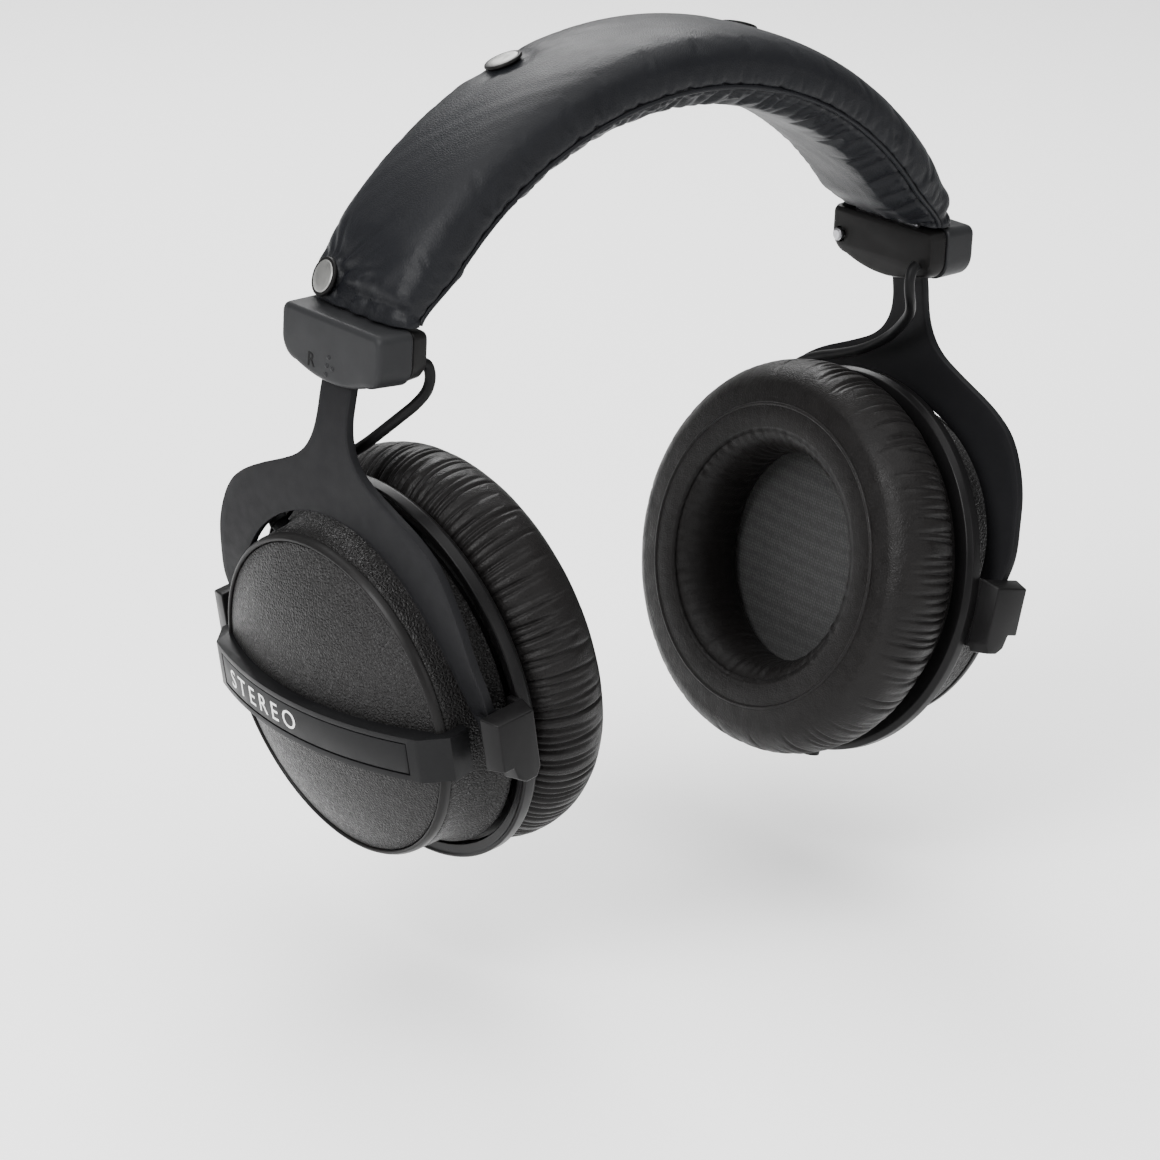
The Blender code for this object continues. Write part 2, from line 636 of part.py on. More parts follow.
def build_driver(name, cup):
    """Flange, baffle and the dynamic driver behind it, from the dome side to the ear."""
    turned("pad_ring_" + name,
           [(44.8 * MM, -5.3 * MM), (47.2 * MM, -5.3 * MM), (FLANGE_R, -6.4 * MM),
            (FLANGE_R, -8.2 * MM), (47.4 * MM, -9.0 * MM), (41.5 * MM, -9.0 * MM),
            (41.5 * MM, -7.6 * MM), (44.8 * MM, -7.6 * MM)],
           "ring_plastic", steps=CUP_STEPS, parent=cup)
    turned("baffle_" + name,
                    [(41.2 * MM, -5.4 * MM), (41.2 * MM, -7.3 * MM), (19.3 * MM, -7.3 * MM),
                     (19.3 * MM, -5.4 * MM)], "ring_plastic", steps=CUP_STEPS, parent=cup)
    turned("driver_frame_" + name,
           [(19.0 * MM, 1.0 * MM), (19.0 * MM, -8.6 * MM), (16.8 * MM, -8.6 * MM),
            (16.8 * MM, -0.8 * MM), (12.3 * MM, -0.8 * MM), (12.3 * MM, 1.0 * MM)],
           "ring_plastic", steps=DRIVER_STEPS, parent=cup)
    turned("driver_magnet_" + name,
           [(0, 3.6 * MM), (12.0 * MM, 3.6 * MM), (12.0 * MM, -3.6 * MM), (0, -3.6 * MM)],
           "zinc_steel", steps=DRIVER_STEPS, closed=False, parent=cup)
    turned("diaphragm_" + name,
           [(0, -5.2 * MM), (6 * MM, -5.6 * MM), (9.5 * MM, -6.6 * MM), (13 * MM, -5.6 * MM),
            (16.4 * MM, -6.4 * MM), (16.4 * MM, -6.7 * MM), (13 * MM, -5.9 * MM),
            (9.5 * MM, -6.9 * MM), (6 * MM, -5.9 * MM), (0, -5.5 * MM)],
           "diaphragm_film", steps=SMALL_STEPS, closed=False, parent=cup)
    turned("damping_felt_" + name,
           [(34.5 * MM, -2.2 * MM), (34.5 * MM, -5.0 * MM), (20.5 * MM, -5.0 * MM),
            (20.5 * MM, -2.2 * MM)], "felt_grey", steps=DRIVER_STEPS, parent=cup)
    turned("ear_cloth_" + name,
           [(0, -10.2 * MM), (39.0 * MM, -10.2 * MM), (39.0 * MM, -11.0 * MM), (0, -11.0 * MM)],
           "foam_grey", steps=DRIVER_STEPS, closed=False, parent=cup)


def build_ear_pad(name, cup):
    """Round cushion: a bulging outer wall, a flat contact face and an open middle."""
    wall = []
    for k in range(7):
        angle = math.radians(70 - 150 * k / 6)
        wall.append((PAD_WIDE_R - 9.0 * MM + 9.0 * MM * math.cos(angle),
                     -21.6 * MM + 11.1 * MM * math.sin(angle)))
    wall[0] = (45.0 * MM, -9.4 * MM)
    wall[-1] = (41.0 * MM, PAD_FACE_W)
    hole = [(32.0 * MM, PAD_FACE_W), (28.0 * MM, -30.5 * MM), (PAD_HOLE_R, -26 * MM),
            (PAD_HOLE_R, -18 * MM), (29.0 * MM, -12.5 * MM), (32.0 * MM, -11.4 * MM),
            (40.5 * MM, -11.4 * MM), (40.5 * MM, -9.4 * MM)]
    return turned("ear_pad_" + name, wall + hole, "pad_leather", steps=CUP_STEPS, parent=cup)


def build_pivots(name, side, cup):
    """Each arm ends in a tip that turns on a pin in a faceted block on the cup."""
    block_outline = [(45.0, -4.9), (48.7, -4.9), (48.7, -6.6), (52.0, -6.6), (54.0, -4.6),
                     (54.0, 5.4), (52.2, 8.0), (48.3, 8.0), (48.3, -3.3), (45.0, -3.3)]
    r = 2.9
    tip_outline = [(r * math.cos(a), r * math.sin(a))
                   for a in (math.radians(-190 + 30 * k) for k in range(7))]
    tip_outline += [(4.6, 0.6), (7.2, 6.5), (0.9, 6.5)]
    slot_outline = [(1.7, 3.0), (4.4, 3.0), (6.4, 8.0), (3.2, 8.0)]
    for place, turn in (("front", -1), ("rear", 1)):
        local = -side * turn
        block = prism("pivot_block_%s_%s" % (place, name),
                      [(local * y * MM, w * MM) for y, w in block_outline],
                      -10 * MM, 9 * MM, "ring_plastic", axes="yzx", parent=cup)
        step = box("block_step_%s_%s" % (place, name),
                   (-12 * MM, local * 40 * MM, 3.8 * MM), (-4.4 * MM, local * 60 * MM, 9 * MM),
                   cutter=True, parent=cup)
        spot = Matrix.Translation((side * PIVOT_X, turn * BLOCK_Y, PIVOT_Z)) @ Matrix.Rotation(
            math.radians(-90 * turn), 4, "X")
        start, end = -3.0 * MM, 4.6 * MM
        world_bore = turned("pivot_bore_%s_%s" % (place, name),
                            [(0, 9 * MM), (PIN_R + BORE_CLEARANCE, 9 * MM),
                             (PIN_R + BORE_CLEARANCE, -9 * MM), (0, -9 * MM)],
                            None, steps=PIN_STEPS, closed=False, cutter=True, matrix=spot)
        cut(block, step)
        add_bevel(block, 0.7 * MM, 1)
        cut(block, world_bore)
        tip = prism("yoke_tip_%s_%s" % (place, name),
                    [(side * (PIVOT_X + x * MM), PIVOT_Z + z * MM) for x, z in tip_outline],
                    turn * 44.9 * MM, turn * 47.9 * MM, "yoke_paint", axes="xzy")
        slot = prism("tip_slot_%s_%s" % (place, name),
                     [(side * (PIVOT_X + x * MM), PIVOT_Z + z * MM) for x, z in slot_outline],
                     turn * 40 * MM, turn * 50 * MM, axes="xzy", cutter=True)
        cut(tip, world_bore, slot)
        turned("pivot_pin_%s_%s" % (place, name),
               [(0, end), (PIN_R, end), (PIN_R, start), (0, start)], "zinc_steel",
               steps=PIN_STEPS, closed=False, matrix=spot)


# --- leads ----------------------------------------------------------------------------------

# Left-hand jumper lead, from the housing's inner face round to the cup's rear shoulder
JUMPER_POINTS = ((76.9, -14.0, -48.3), (75.4, -14.2, -49.4), (74.7, -14.3, -52.2),
                 (75.4, -14.0, -55.4), (77.4, -12.6, -58.6), (79.8, -10.0, -62.0),
                 (81.4, -6.0, -66.0), (82.4, -1.5, -70.0), (82.8, 4.0, -73.8),
                 (83.0, 10.0, -77.0), (83.2, 17.0, -79.8), (83.3, 24.0, -82.2),
                 (83.3, 30.0, -85.0), (83.1, 34.4, -88.6), (82.7, 35.4, -92.4),
                 (82.2, 33.6, -95.2))
GROMMET_R = 43.0 * MM
GROMMET_ANGLE = 45.0
GROMMET_W = -0.5 * MM


def grommet_matrix(side):
    """Local frame with +Z radially out of the shell, towards the rear of the cup's top."""
    angle = math.radians(GROMMET_ANGLE)
    outward = Vector((math.cos(angle), -side * math.sin(angle), 0))
    spot = outward * GROMMET_R + Vector((0, 0, GROMMET_W))
    return Matrix.Translation(spot) @ outward.to_track_quat("Z", "Y").to_matrix().to_4x4()


def build_leads(name, side, cup, shell):
    place = grommet_matrix(side)
    turned("lead_grommet_" + name,
           [(1.5 * MM, 3.0 * MM), (2.1 * MM, 3.0 * MM), (2.7 * MM, 0.0), (2.2 * MM, -0.2 * MM),
            (2.2 * MM, -4.4 * MM), (1.5 * MM, -4.4 * MM)],
           "lead_rubber", steps=SMALL_STEPS, parent=cup, matrix=place)
    hole = turned("lead_hole_" + name,
                  [(0, 6 * MM), (2.5 * MM, 6 * MM), (2.5 * MM, -6 * MM), (0, -6 * MM)], None,
                  steps=SMALL_STEPS, closed=False, cutter=True, parent=cup, matrix=place)
    room = turned("lead_room_" + name,
                  [(0, 9 * MM), (3.2 * MM, 9 * MM), (3.2 * MM, -0.9 * MM), (0, -0.9 * MM)], None,
                  steps=SMALL_STEPS, closed=False, cutter=True, parent=cup, matrix=place)
    cut(shell, hole, room)
    points = [Vector((side * x * MM, y * MM, z * MM)) for x, y, z in JUMPER_POINTS]
    bpy.context.view_layer.update()
    mouth = cup.matrix_world @ place
    points += [mouth @ Vector((0, 0, 4.4 * MM)), mouth @ Vector((0, 0, 1.0 * MM))]
    tube("jumper_lead_" + name, smooth_route(points, 1), LEAD_R, "lead_rubber")


def build_cable_gland(cup, shell):
    """Inlet of the main cable at the bottom of the left cup."""
    spot = Matrix.Translation((-41.6 * MM, 0, -0.5 * MM)) @ Matrix.Rotation(
        math.radians(-90), 4, "Y")
    turned("cable_gland", [(1.7 * MM, 10 * MM), (3.2 * MM, 10 * MM), (4.0 * MM, 1.0 * MM),
                           (3.4 * MM, 0.6 * MM), (3.4 * MM, -3.0 * MM), (1.7 * MM, -3.0 * MM)],
           "lead_rubber", steps=24, parent=cup, matrix=spot)
    hole = turned("gland_hole", [(0, 20 * MM), (3.7 * MM, 20 * MM), (3.7 * MM, -6 * MM),
                                 (0, -6 * MM)], None, steps=24, closed=False, cutter=True,
                  parent=cup, matrix=spot)
    room = turned("gland_room", [(0, 20 * MM), (4.4 * MM, 20 * MM), (4.4 * MM, 0.4 * MM),
                                 (0, 0.4 * MM)], None, steps=24, closed=False, cutter=True,
                  parent=cup, matrix=spot)
    cut(shell, hole, room)


def build_cup(name, side):
    cup = cup_frame(name, side)
    shell = build_shell(name, cup)
    build_badge(name, cup)
    build_driver(name, cup)
    build_ear_pad(name, cup)
    build_pivots(name, side, cup)
    build_leads(name, side, cup, shell)
    if name == "l":
        build_cable_gland(cup, shell)


clear_scene()
PARTS = new_collection("over_ear_headphones")
CUTTERS = new_collection("cutters")
SURFACES = {name: make_material(name) for name in MATERIALS}
build_headband()
for side_name, side_sign in SIDES:
    build_slider(side_name, side_sign)
    build_yoke(side_name, side_sign)
    build_cup(side_name, side_sign)
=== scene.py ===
"""Looks of the over ear headphones: leather, grained plastic, painted steel and leads.

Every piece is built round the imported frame, in metres: +X to the wearer's left, -Y to the
front, origin under the crown pad.
"""
import math

import bmesh
import bpy
import numpy as np
from mathutils import Matrix, Vector


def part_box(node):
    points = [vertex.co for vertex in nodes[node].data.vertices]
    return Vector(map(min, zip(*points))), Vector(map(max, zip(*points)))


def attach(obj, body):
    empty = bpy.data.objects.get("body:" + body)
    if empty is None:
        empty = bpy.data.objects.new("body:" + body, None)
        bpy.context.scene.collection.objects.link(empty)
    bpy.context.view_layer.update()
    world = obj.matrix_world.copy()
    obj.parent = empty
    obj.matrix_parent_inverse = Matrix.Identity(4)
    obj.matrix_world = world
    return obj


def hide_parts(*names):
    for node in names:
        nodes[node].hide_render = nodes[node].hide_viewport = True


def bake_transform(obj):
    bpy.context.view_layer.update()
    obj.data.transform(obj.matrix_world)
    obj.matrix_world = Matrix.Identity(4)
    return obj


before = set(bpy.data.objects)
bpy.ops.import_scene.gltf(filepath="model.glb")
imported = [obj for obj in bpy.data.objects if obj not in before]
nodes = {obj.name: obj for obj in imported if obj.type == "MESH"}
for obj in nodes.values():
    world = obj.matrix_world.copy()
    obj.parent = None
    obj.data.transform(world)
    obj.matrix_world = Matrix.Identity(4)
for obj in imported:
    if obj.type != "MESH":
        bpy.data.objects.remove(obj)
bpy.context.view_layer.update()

MM = 0.001
SIDES = (("r", -1), ("l", 1))

# Headband section and arc, as in the frame
PAD_UNDER_R = 85.8 * MM
PAD_OUTER_R = 103.5 * MM
PAD_MID_R = (PAD_UNDER_R + PAD_OUTER_R) / 2
PAD_HALF_DEPTH = (PAD_OUTER_R - PAD_UNDER_R) / 2
PAD_HALF_WIDTH = 18.6 * MM
PAD_END_HALF = 5.0 * MM
SECTION_POWER = 2.8
ARC_Z = -PAD_UNDER_R
HOUSING_TOP_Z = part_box("slider_cover_l")[1][2]
HOUSING_BOTTOM_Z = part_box("slider_cover_l")[0][2]
HOUSING_OUTER_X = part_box("slider_cover_l")[1][0]
HOUSING_SPLIT_X = 83.0 * MM
HOUSING_INNER_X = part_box("slider_base_l")[0][0]
HOUSING_HALF_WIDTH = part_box("slider_cover_l")[1][1]
PAD_END = Vector((82.3 * MM, 0, HOUSING_TOP_Z + 0.6 * MM))

# Yoke
STEM_CENTRE_X = 6.5 * MM
STEM_CENTRE_Z = -70.8 * MM
STEM_R = 85.0 * MM
YOKE_THICK = 2.0 * MM
YOKE_INNER_R = 41.5 * MM
YOKE_TOP_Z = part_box("yoke_l")[1][2]

# Cups, turned about an axis through the tilt pivot
PIVOT_X = 76.0 * MM
PIVOT_Z = -128.0 * MM
CUP_TILT = math.radians(12.0)
RIM_R = 40.0 * MM
RIM_W = 12.3 * MM
DOME_RISE = 8.6 * MM
PAD_WIDE_R = 49.0 * MM
BAR_LOW_V = -7.0 * MM
BAR_HIGH_V = 4.0 * MM
BAR_FACE_W = 24.2 * MM
BAR_FACE_RISE = 6.8 * MM
BAR_HALF_FACE = 38.0 * MM
BAR_END_Y = 43.0 * MM


def link_object(name, data):
    obj = bpy.data.objects.new(name, data)
    bpy.context.scene.collection.objects.link(obj)
    return obj


# --- camera ---

def make_camera():
    azimuth, elevation, roll = (math.radians(a) for a in (-41.18, 19.49, 2.81))
    distance = 1.1148
    target = Vector((-14.7 * MM, 0, -116.3 * MM))
    back = Vector((math.sin(azimuth) * math.cos(elevation),
                   -math.cos(azimuth) * math.cos(elevation), math.sin(elevation)))
    right = Vector((0, 0, 1)).cross(back).normalized()
    up = back.cross(right)
    tilted_right = right * math.cos(roll) + up * math.sin(roll)
    tilted_up = up * math.cos(roll) - right * math.sin(roll)
    data = bpy.data.cameras.new("camera")
    data.lens = 144.9
    data.sensor_width = 36.0
    camera = link_object("camera", data)
    matrix = Matrix((tilted_right, tilted_up, back)).transposed().to_4x4()
    matrix.translation = target + back * distance
    camera.matrix_world = matrix
    bpy.context.scene.camera = camera


make_camera()


# --- materials ---

def set_inputs(node, sockets):
    for socket, value in sockets.items():
        node.inputs[socket.replace("_", " ")].default_value = value


class Surface:
    """A Principled material with helpers for procedural colour, roughness and bump."""

    def __init__(self, name, colour, roughness, metallic=0.0, **sockets):
        self.material = bpy.data.materials.new(name)
        self.material.use_nodes = True
        self.tree = self.material.node_tree
        self.shader = self.tree.nodes["Principled BSDF"]
        set_inputs(self.shader, {"Base Color": (*colour, 1), "Roughness": roughness,
                                 "Metallic": metallic, **sockets})
        self.coordinates = self.node("TexCoord").outputs["Object"]
        self.height = None

    def node(self, kind, **sockets):
        node = self.tree.nodes.new("ShaderNode" + kind)
        set_inputs(node, sockets)
        return node

    def link(self, source, target):
        self.tree.links.new(source, target)

    def noise(self, scale, detail=4.0, roughness=0.55, stretch=(1, 1, 1)):
        mapping = self.node("Mapping", Scale=stretch)
        self.link(self.coordinates, mapping.inputs["Vector"])
        node = self.node("TexNoise", Scale=scale, Detail=detail, Roughness=roughness)
        self.link(mapping.outputs["Vector"], node.inputs["Vector"])
        return node.outputs["Fac"]

    def cells(self, scale, feature="DISTANCE_TO_EDGE", randomness=1.0):
        node = self.node("TexVoronoi", Scale=scale, Randomness=randomness)
        node.feature = feature
        self.link(self.coordinates, node.inputs["Vector"])
        return node.outputs["Distance"]

    def map(self, value, high, to_low=0.0, to_high=1.0, low=0.0):
        node = self.node("MapRange", From_Min=low, From_Max=high, To_Min=to_low, To_Max=to_high)
        self.link(value, node.inputs["Value"])
        return node.outputs["Result"]

    def colour(self, value, first, second):
        node = self.node("Mix")
        node.data_type = "RGBA"
        self.link(value, node.inputs[0])
        node.inputs[6].default_value = (*first, 1)
        node.inputs[7].default_value = (*second, 1)
        self.link(node.outputs[2], self.shader.inputs["Base Color"])
        return self

    def roughness(self, value, low, high):
        self.link(self.map(value, 0.7, low, high, 0.3), self.shader.inputs["Roughness"])
        return self

    def bump(self, value, distance, strength=1.0):
        node = self.node("Bump", Distance=distance, Strength=strength)
        self.link(value, node.inputs["Height"])
        if self.height:
            self.link(self.height, node.inputs["Normal"])
        self.height = node.outputs["Normal"]
        self.link(self.height, self.shader.inputs["Normal"])
        return self


def headband_leather():
    s = Surface("nappa_black", (0.008, 0.0085, 0.010), 0.42, Specular_IOR_Level=0.13,
                Sheen_Weight=0.01, Sheen_Roughness=0.5, Sheen_Tint=(0.75, 0.80, 0.92, 1))
    patch = s.noise(45, 5)
    s.colour(patch, (0.0036, 0.0038, 0.0048), (0.0064, 0.0068, 0.0082))
    s.roughness(patch, 0.38, 0.52)
    s.bump(s.noise(120, 5, 0.6, (1, 2.2, 1)), 0.00025, 0.5)
    s.bump(s.map(s.cells(1500), 0.25), 0.00005, 0.55)
    return s.material


def pad_leather():
    s = Surface("pad_leather_black", (0.007, 0.0062, 0.0062), 0.40, Specular_IOR_Level=0.14,
                Sheen_Weight=0.005, Sheen_Roughness=0.5)
    patch = s.noise(70, 5)
    s.colour(patch, (0.0034, 0.0030, 0.0030), (0.0066, 0.0058, 0.0056))
    s.roughness(s.noise(220, 4), 0.32, 0.52)
    s.bump(s.noise(260, 5, 0.65), 0.0004, 0.6)
    s.bump(s.map(s.cells(1700), 0.25), 0.00006, 0.6)
    return s.material


def grained_plastic(name, dark, light, bump_size):
    """Moulded leather grain: irregular pebbles with fine creases between them."""
    s = Surface(name, dark, 0.45, Specular_IOR_Level=0.15)
    s.colour(s.noise(60), dark, light)
    s.roughness(s.noise(900, 3), 0.30, 0.50)
    s.bump(s.noise(1500, 3, 0.6), 0.00018, 0.7)
    s.bump(s.map(s.cells(1150), 0.30), bump_size, 0.75)
    return s.material


def satin_plastic(name, dark, light, roughness):
    s = Surface(name, dark, roughness, Specular_IOR_Level=0.10)
    s.colour(s.noise(90, 5), dark, light)
    s.roughness(s.noise(160, 5), roughness - 0.06, roughness + 0.08)
    s.bump(s.noise(2600, 2, 0.5), 0.00002, 0.45)
    return s.material


def painted_steel():
    s = Surface("yoke_powder_coat", (0.008, 0.008, 0.0088), 0.5, Specular_IOR_Level=0.06)
    s.colour(s.noise(70, 4), (0.0068, 0.0068, 0.0076), (0.0094, 0.0094, 0.0102))
    s.roughness(s.noise(300, 4), 0.44, 0.56)
    s.bump(s.noise(3200, 2, 0.5), 0.000025, 0.6)
    return s.material


def brushed_metal(name, colour, roughness):
    s = Surface(name, colour, roughness, 1.0, Anisotropic=0.35)
    lines = s.noise(500, 3, 0.6, (1, 12, 1))
    s.colour(lines, tuple(c * 0.8 for c in colour), colour)
    s.roughness(lines, roughness - 0.05, roughness + 0.12)
    s.bump(lines, 0.00002, 0.3)
    return s.material


def cloth_material(name, dark, light, scale):
    s = Surface(name, dark, 0.95, Sheen_Weight=0.15, Sheen_Roughness=0.6)
    weave = s.cells(scale, "F1", 0.35)
    s.colour(s.map(weave, 0.6), light, dark)
    s.roughness(s.noise(300), 0.88, 0.98)
    s.bump(weave, 0.0002, 0.7)
    return s.material


def print_white():
    s = Surface("label_print", (0.80, 0.81, 0.80), 0.5)
    s.colour(s.noise(900, 3), (0.66, 0.67, 0.66), (0.86, 0.87, 0.86))
    s.bump(s.noise(2500, 2), 0.00001, 0.3)
    return s.material


def floor_paper():
    s = Surface("floor_paper", (0.93, 0.93, 0.93), 0.8, Emission_Strength=0.30,
                Emission_Color=(1, 1, 1, 1))
    s.colour(s.noise(3, 2), (0.93, 0.93, 0.93), (0.94, 0.94, 0.94))
    return s.material


LEATHER = headband_leather()
PAD_LEATHER = pad_leather()
DOME_GRAIN = grained_plastic("dome_grain", (0.0062, 0.0059, 0.0059), (0.0100, 0.0096, 0.0096), 0.00020)
SIDE_GRAIN = grained_plastic("side_grain", (0.0055, 0.0052, 0.0052), (0.0092, 0.0088, 0.0088), 0.00020)
RIM_SATIN = satin_plastic("rim_satin", (0.0070, 0.0067, 0.0067), (0.0096, 0.0092, 0.0092), 0.34)
RING_SATIN = satin_plastic("ring_satin", (0.0042, 0.0040, 0.0042), (0.0062, 0.0060, 0.0062), 0.33)
BADGE_SATIN = satin_plastic("badge_satin", (0.0045, 0.0045, 0.0048), (0.0064, 0.0064, 0.0068), 0.38)
# Near-black plastic: painted shade on the floor of the label's groove, and also the side letters' own
# dark colour.
GROOVE_SHADE_AND_LETTER_BLACK = satin_plastic("badge_groove", (0.002, 0.002, 0.002), (0.004, 0.004, 0.004), 0.5)
HOUSING = satin_plastic("housing_satin", (0.0125, 0.0127, 0.0135), (0.0155, 0.0158, 0.0168), 0.46)
HOUSING_DARK = satin_plastic("housing_inner", (0.0038, 0.0036, 0.0036), (0.0058, 0.0055, 0.0055), 0.42)
YOKE_PAINT = painted_steel()
NICKEL = brushed_metal("snap_nickel", (0.31, 0.31, 0.30), 0.44)
STEEL = brushed_metal("spring_steel", (0.45, 0.45, 0.47), 0.32)
RUBBER = satin_plastic("lead_rubber", (0.0038, 0.0038, 0.0041), (0.0058, 0.0058, 0.0061), 0.48)
CLOTH = cloth_material("ear_cloth", (0.010, 0.010, 0.010), (0.035, 0.035, 0.035), 1400)
FOAM = cloth_material("foam", (0.03, 0.03, 0.03), (0.08, 0.08, 0.08), 700)
FELT = cloth_material("felt", (0.09, 0.09, 0.09), (0.18, 0.18, 0.18), 900)
FILM = satin_plastic("diaphragm_film", (0.42, 0.44, 0.47), (0.52, 0.54, 0.57), 0.22)
PRINT = print_white()
FLOOR = floor_paper()
THREAD = satin_plastic("thread", (0.006, 0.006, 0.007), (0.011, 0.011, 0.013), 0.6)


# --- mesh helpers ---

def mm(*points):
    """Points written in millimetres, as metres."""
    return [tuple(value * MM for value in point) for point in points]


def offset_from(radius, height, *points):
    """Points (radius, height) written in millimetres from a corner."""
    return [(radius + r * MM, height + w * MM) for r, w in points]


def shade(mesh, degrees):
    mesh.shade_smooth()
    mesh.set_sharp_from_angle(angle=math.radians(degrees))


def add_mesh(name, mesh, material, matrix=None, degrees=40.0):
    mesh.materials.append(material)
    shade(mesh, degrees)
    if matrix is not None:
        mesh.transform(matrix)
    return link_object(name, mesh)


def plain_grid(name, rows, wrap_rows=False, caps=False):
    """Mesh from a numpy array of points (rows, columns, 3) whose columns close on themselves."""
    count, across = rows.shape[:2]
    index = np.arange(count * across).reshape(count, across).tolist()
    faces = []
    for i in range(count if wrap_rows else count - 1):
        first, second = index[i], index[(i + 1) % count]
        for j in range(across):
            k = (j + 1) % across
            faces.append((first[j], first[k], second[k], second[j]))
    if caps:
        faces += [index[0][::-1], index[-1]]
    mesh = bpy.data.meshes.new(name)
    mesh.from_pydata(rows.reshape(-1, 3).tolist(), [], faces)
    return mesh


def grid_mesh(name, rows, wrap_rows=False, caps=False):
    return tidy_normals(plain_grid(name, rows, wrap_rows, caps))


def tidy_normals(mesh):
    bm = bmesh.new()
    bm.from_mesh(mesh)
    bmesh.ops.remove_doubles(bm, verts=bm.verts, dist=0.0000005)
    bmesh.ops.dissolve_degenerate(bm, edges=bm.edges, dist=0.0000005)
    loose = [edge for edge in bm.edges if not edge.link_faces]
    bmesh.ops.delete(bm, geom=loose, context="EDGES")
    bmesh.ops.recalc_face_normals(bm, faces=bm.faces)
    bm.to_mesh(mesh)
    bm.free()
    return mesh


def round_profile(points, radius):
    """Replace each corner of a closed (radius, height) outline with a small arc."""
    rounded = []
    count = len(points)
    for k in range(count):
        before, here, after = (Vector(points[(k + d) % count]) for d in (-1, 0, 1))
        back, ahead = before - here, after - here
        reach = min(radius, back.length * 0.45, ahead.length * 0.45)
        start, end = here + back.normalized() * reach, here + ahead.normalized() * reach
        if here.x < 0.00001:
            rounded.append(tuple(here))
            continue
        for s in range(5):
            t = s / 4
            point = start * (1 - t) ** 2 + here * 2 * t * (1 - t) + end * t * t
            rounded.append(tuple(point))
    return rounded


def turned(name, outline, material, matrix, steps=160, radius=0.35 * MM):
    """Turn a closed (radius, height) outline about local Z, with its corners rounded."""
    profile = np.array(round_profile([Vector((r, w)) for r, w in outline], radius))
    angles = np.linspace(0, 2 * math.pi, steps, endpoint=False)
    rows = np.zeros((steps, len(profile), 3))
    rows[:, :, 0] = np.cos(angles)[:, None] * profile[None, :, 0]
    rows[:, :, 1] = np.sin(angles)[:, None] * profile[None, :, 0]
    rows[:, :, 2] = profile[None, :, 1]
    return add_mesh(name, grid_mesh(name, rows, wrap_rows=True), material, matrix)


def prism_mesh(name, outline, low, high, axes):
    """Extrude an outline given in two axes along the third."""
    order = ["xyz".index(letter) for letter in axes]
    rows = np.zeros((2, len(outline), 3))
    for row, level in zip(rows, (low, high)):
        for point, (first, second) in zip(row, outline):
            point[order[0]], point[order[1]], point[order[2]] = first, second, level
    return grid_mesh(name, rows, caps=True)


def evaluated_mesh(obj):
    graph = bpy.context.evaluated_depsgraph_get()
    return bpy.data.meshes.new_from_object(obj.evaluated_get(graph))


def apply_modifiers(obj):
    mesh = evaluated_mesh(obj)
    obj.modifiers.clear()
    obj.data = mesh


def bevelled(obj, width, segments=3, angle=35.0):
    bevel = obj.modifiers.new("edges", "BEVEL")
    bevel.width = width
    bevel.segments = segments
    bevel.limit_method = "ANGLE"
    bevel.angle_limit = math.radians(angle)
    bevel.harden_normals = False
    apply_modifiers(obj)
    shade(obj.data, 50)


def cut_away(obj, cutter):
    boolean = obj.modifiers.new("cut", "BOOLEAN")
    boolean.operation = "DIFFERENCE"
    boolean.solver = "EXACT"
    boolean.object = cutter
    bpy.context.view_layer.update()
    apply_modifiers(obj)
    bpy.data.objects.remove(cutter)


def place_piece(piece, body, slot, *replaced):
    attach(piece, body)
    if replaced:
        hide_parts(*replaced)


def paint(node, material):
    slots = nodes[node].data.materials
    if len(slots):
        slots[0] = material
    else:
        slots.append(material)


def signed_power(value, exponent):
    return np.sign(value) * np.abs(value) ** exponent


def superellipse(angle):
    """Shares (outward, across) of the cushion's rounded section at an angle."""
    return (signed_power(np.sin(angle), 2 / SECTION_POWER),
            signed_power(np.cos(angle), 2 / SECTION_POWER))


def arc(centre, size, first, last, count):
    """Points (radius, height) of an elliptical arc between two angles in degrees."""
    angles = [math.radians(first + (last - first) * k / (count - 1)) for k in range(count)]
    return [(centre[0] + size[0] * math.cos(a), centre[1] + size[1] * math.sin(a))
            for a in angles]


def bezier(start, start_pull, end_pull, end, count):
    points = []
    for k in range(1, count + 1):
        t = k / count
        u = 1 - t
        points.append(start * u ** 3 + start_pull * 3 * u * u * t
                      + end_pull * 3 * u * t * t + end * t ** 3)
    return points


def ripple(seed, count, low, high):
    """Smooth seeded mixture of waves, used for wrinkles that never quite repeat."""
    random = np.random.default_rng(seed)
    waves = [(random.uniform(low, high), random.uniform(0, 2 * math.pi), random.uniform(0.4, 1))
             for _ in range(count)]
    total = sum(weight for _, _, weight in waves)
    return lambda t: sum(weight * np.sin(rate * t + phase)
                         for rate, phase, weight in waves) / total


def spread(values, count, axis, wrap):
    """Resample an array along one axis to another count of evenly spaced samples."""
    size = values.shape[axis]
    if wrap:
        place = np.arange(count) * size / count
    else:
        place = np.linspace(0, size - 1, count)
    low = np.floor(place).astype(int)
    high = (low + 1) % size if wrap else np.minimum(low + 1, size - 1)
    share = (place - low).reshape([-1 if k == axis else 1 for k in range(values.ndim)])
    return np.take(values, low, axis) * (1 - share) + np.take(values, high, axis) * share


def resample(values, shape):
    """Other counts of rows and columns, where the columns close on themselves."""
    return spread(spread(values, shape[0], 0, False), shape[1], 1, True)


CLOTH_SCALE = 20.0
CLOTH_FRAMES = 26
CLOTH_GRID = (260, 132)
CLOTH_GROWTH = 0.022
CLOTH_PRESSURE = 2.0


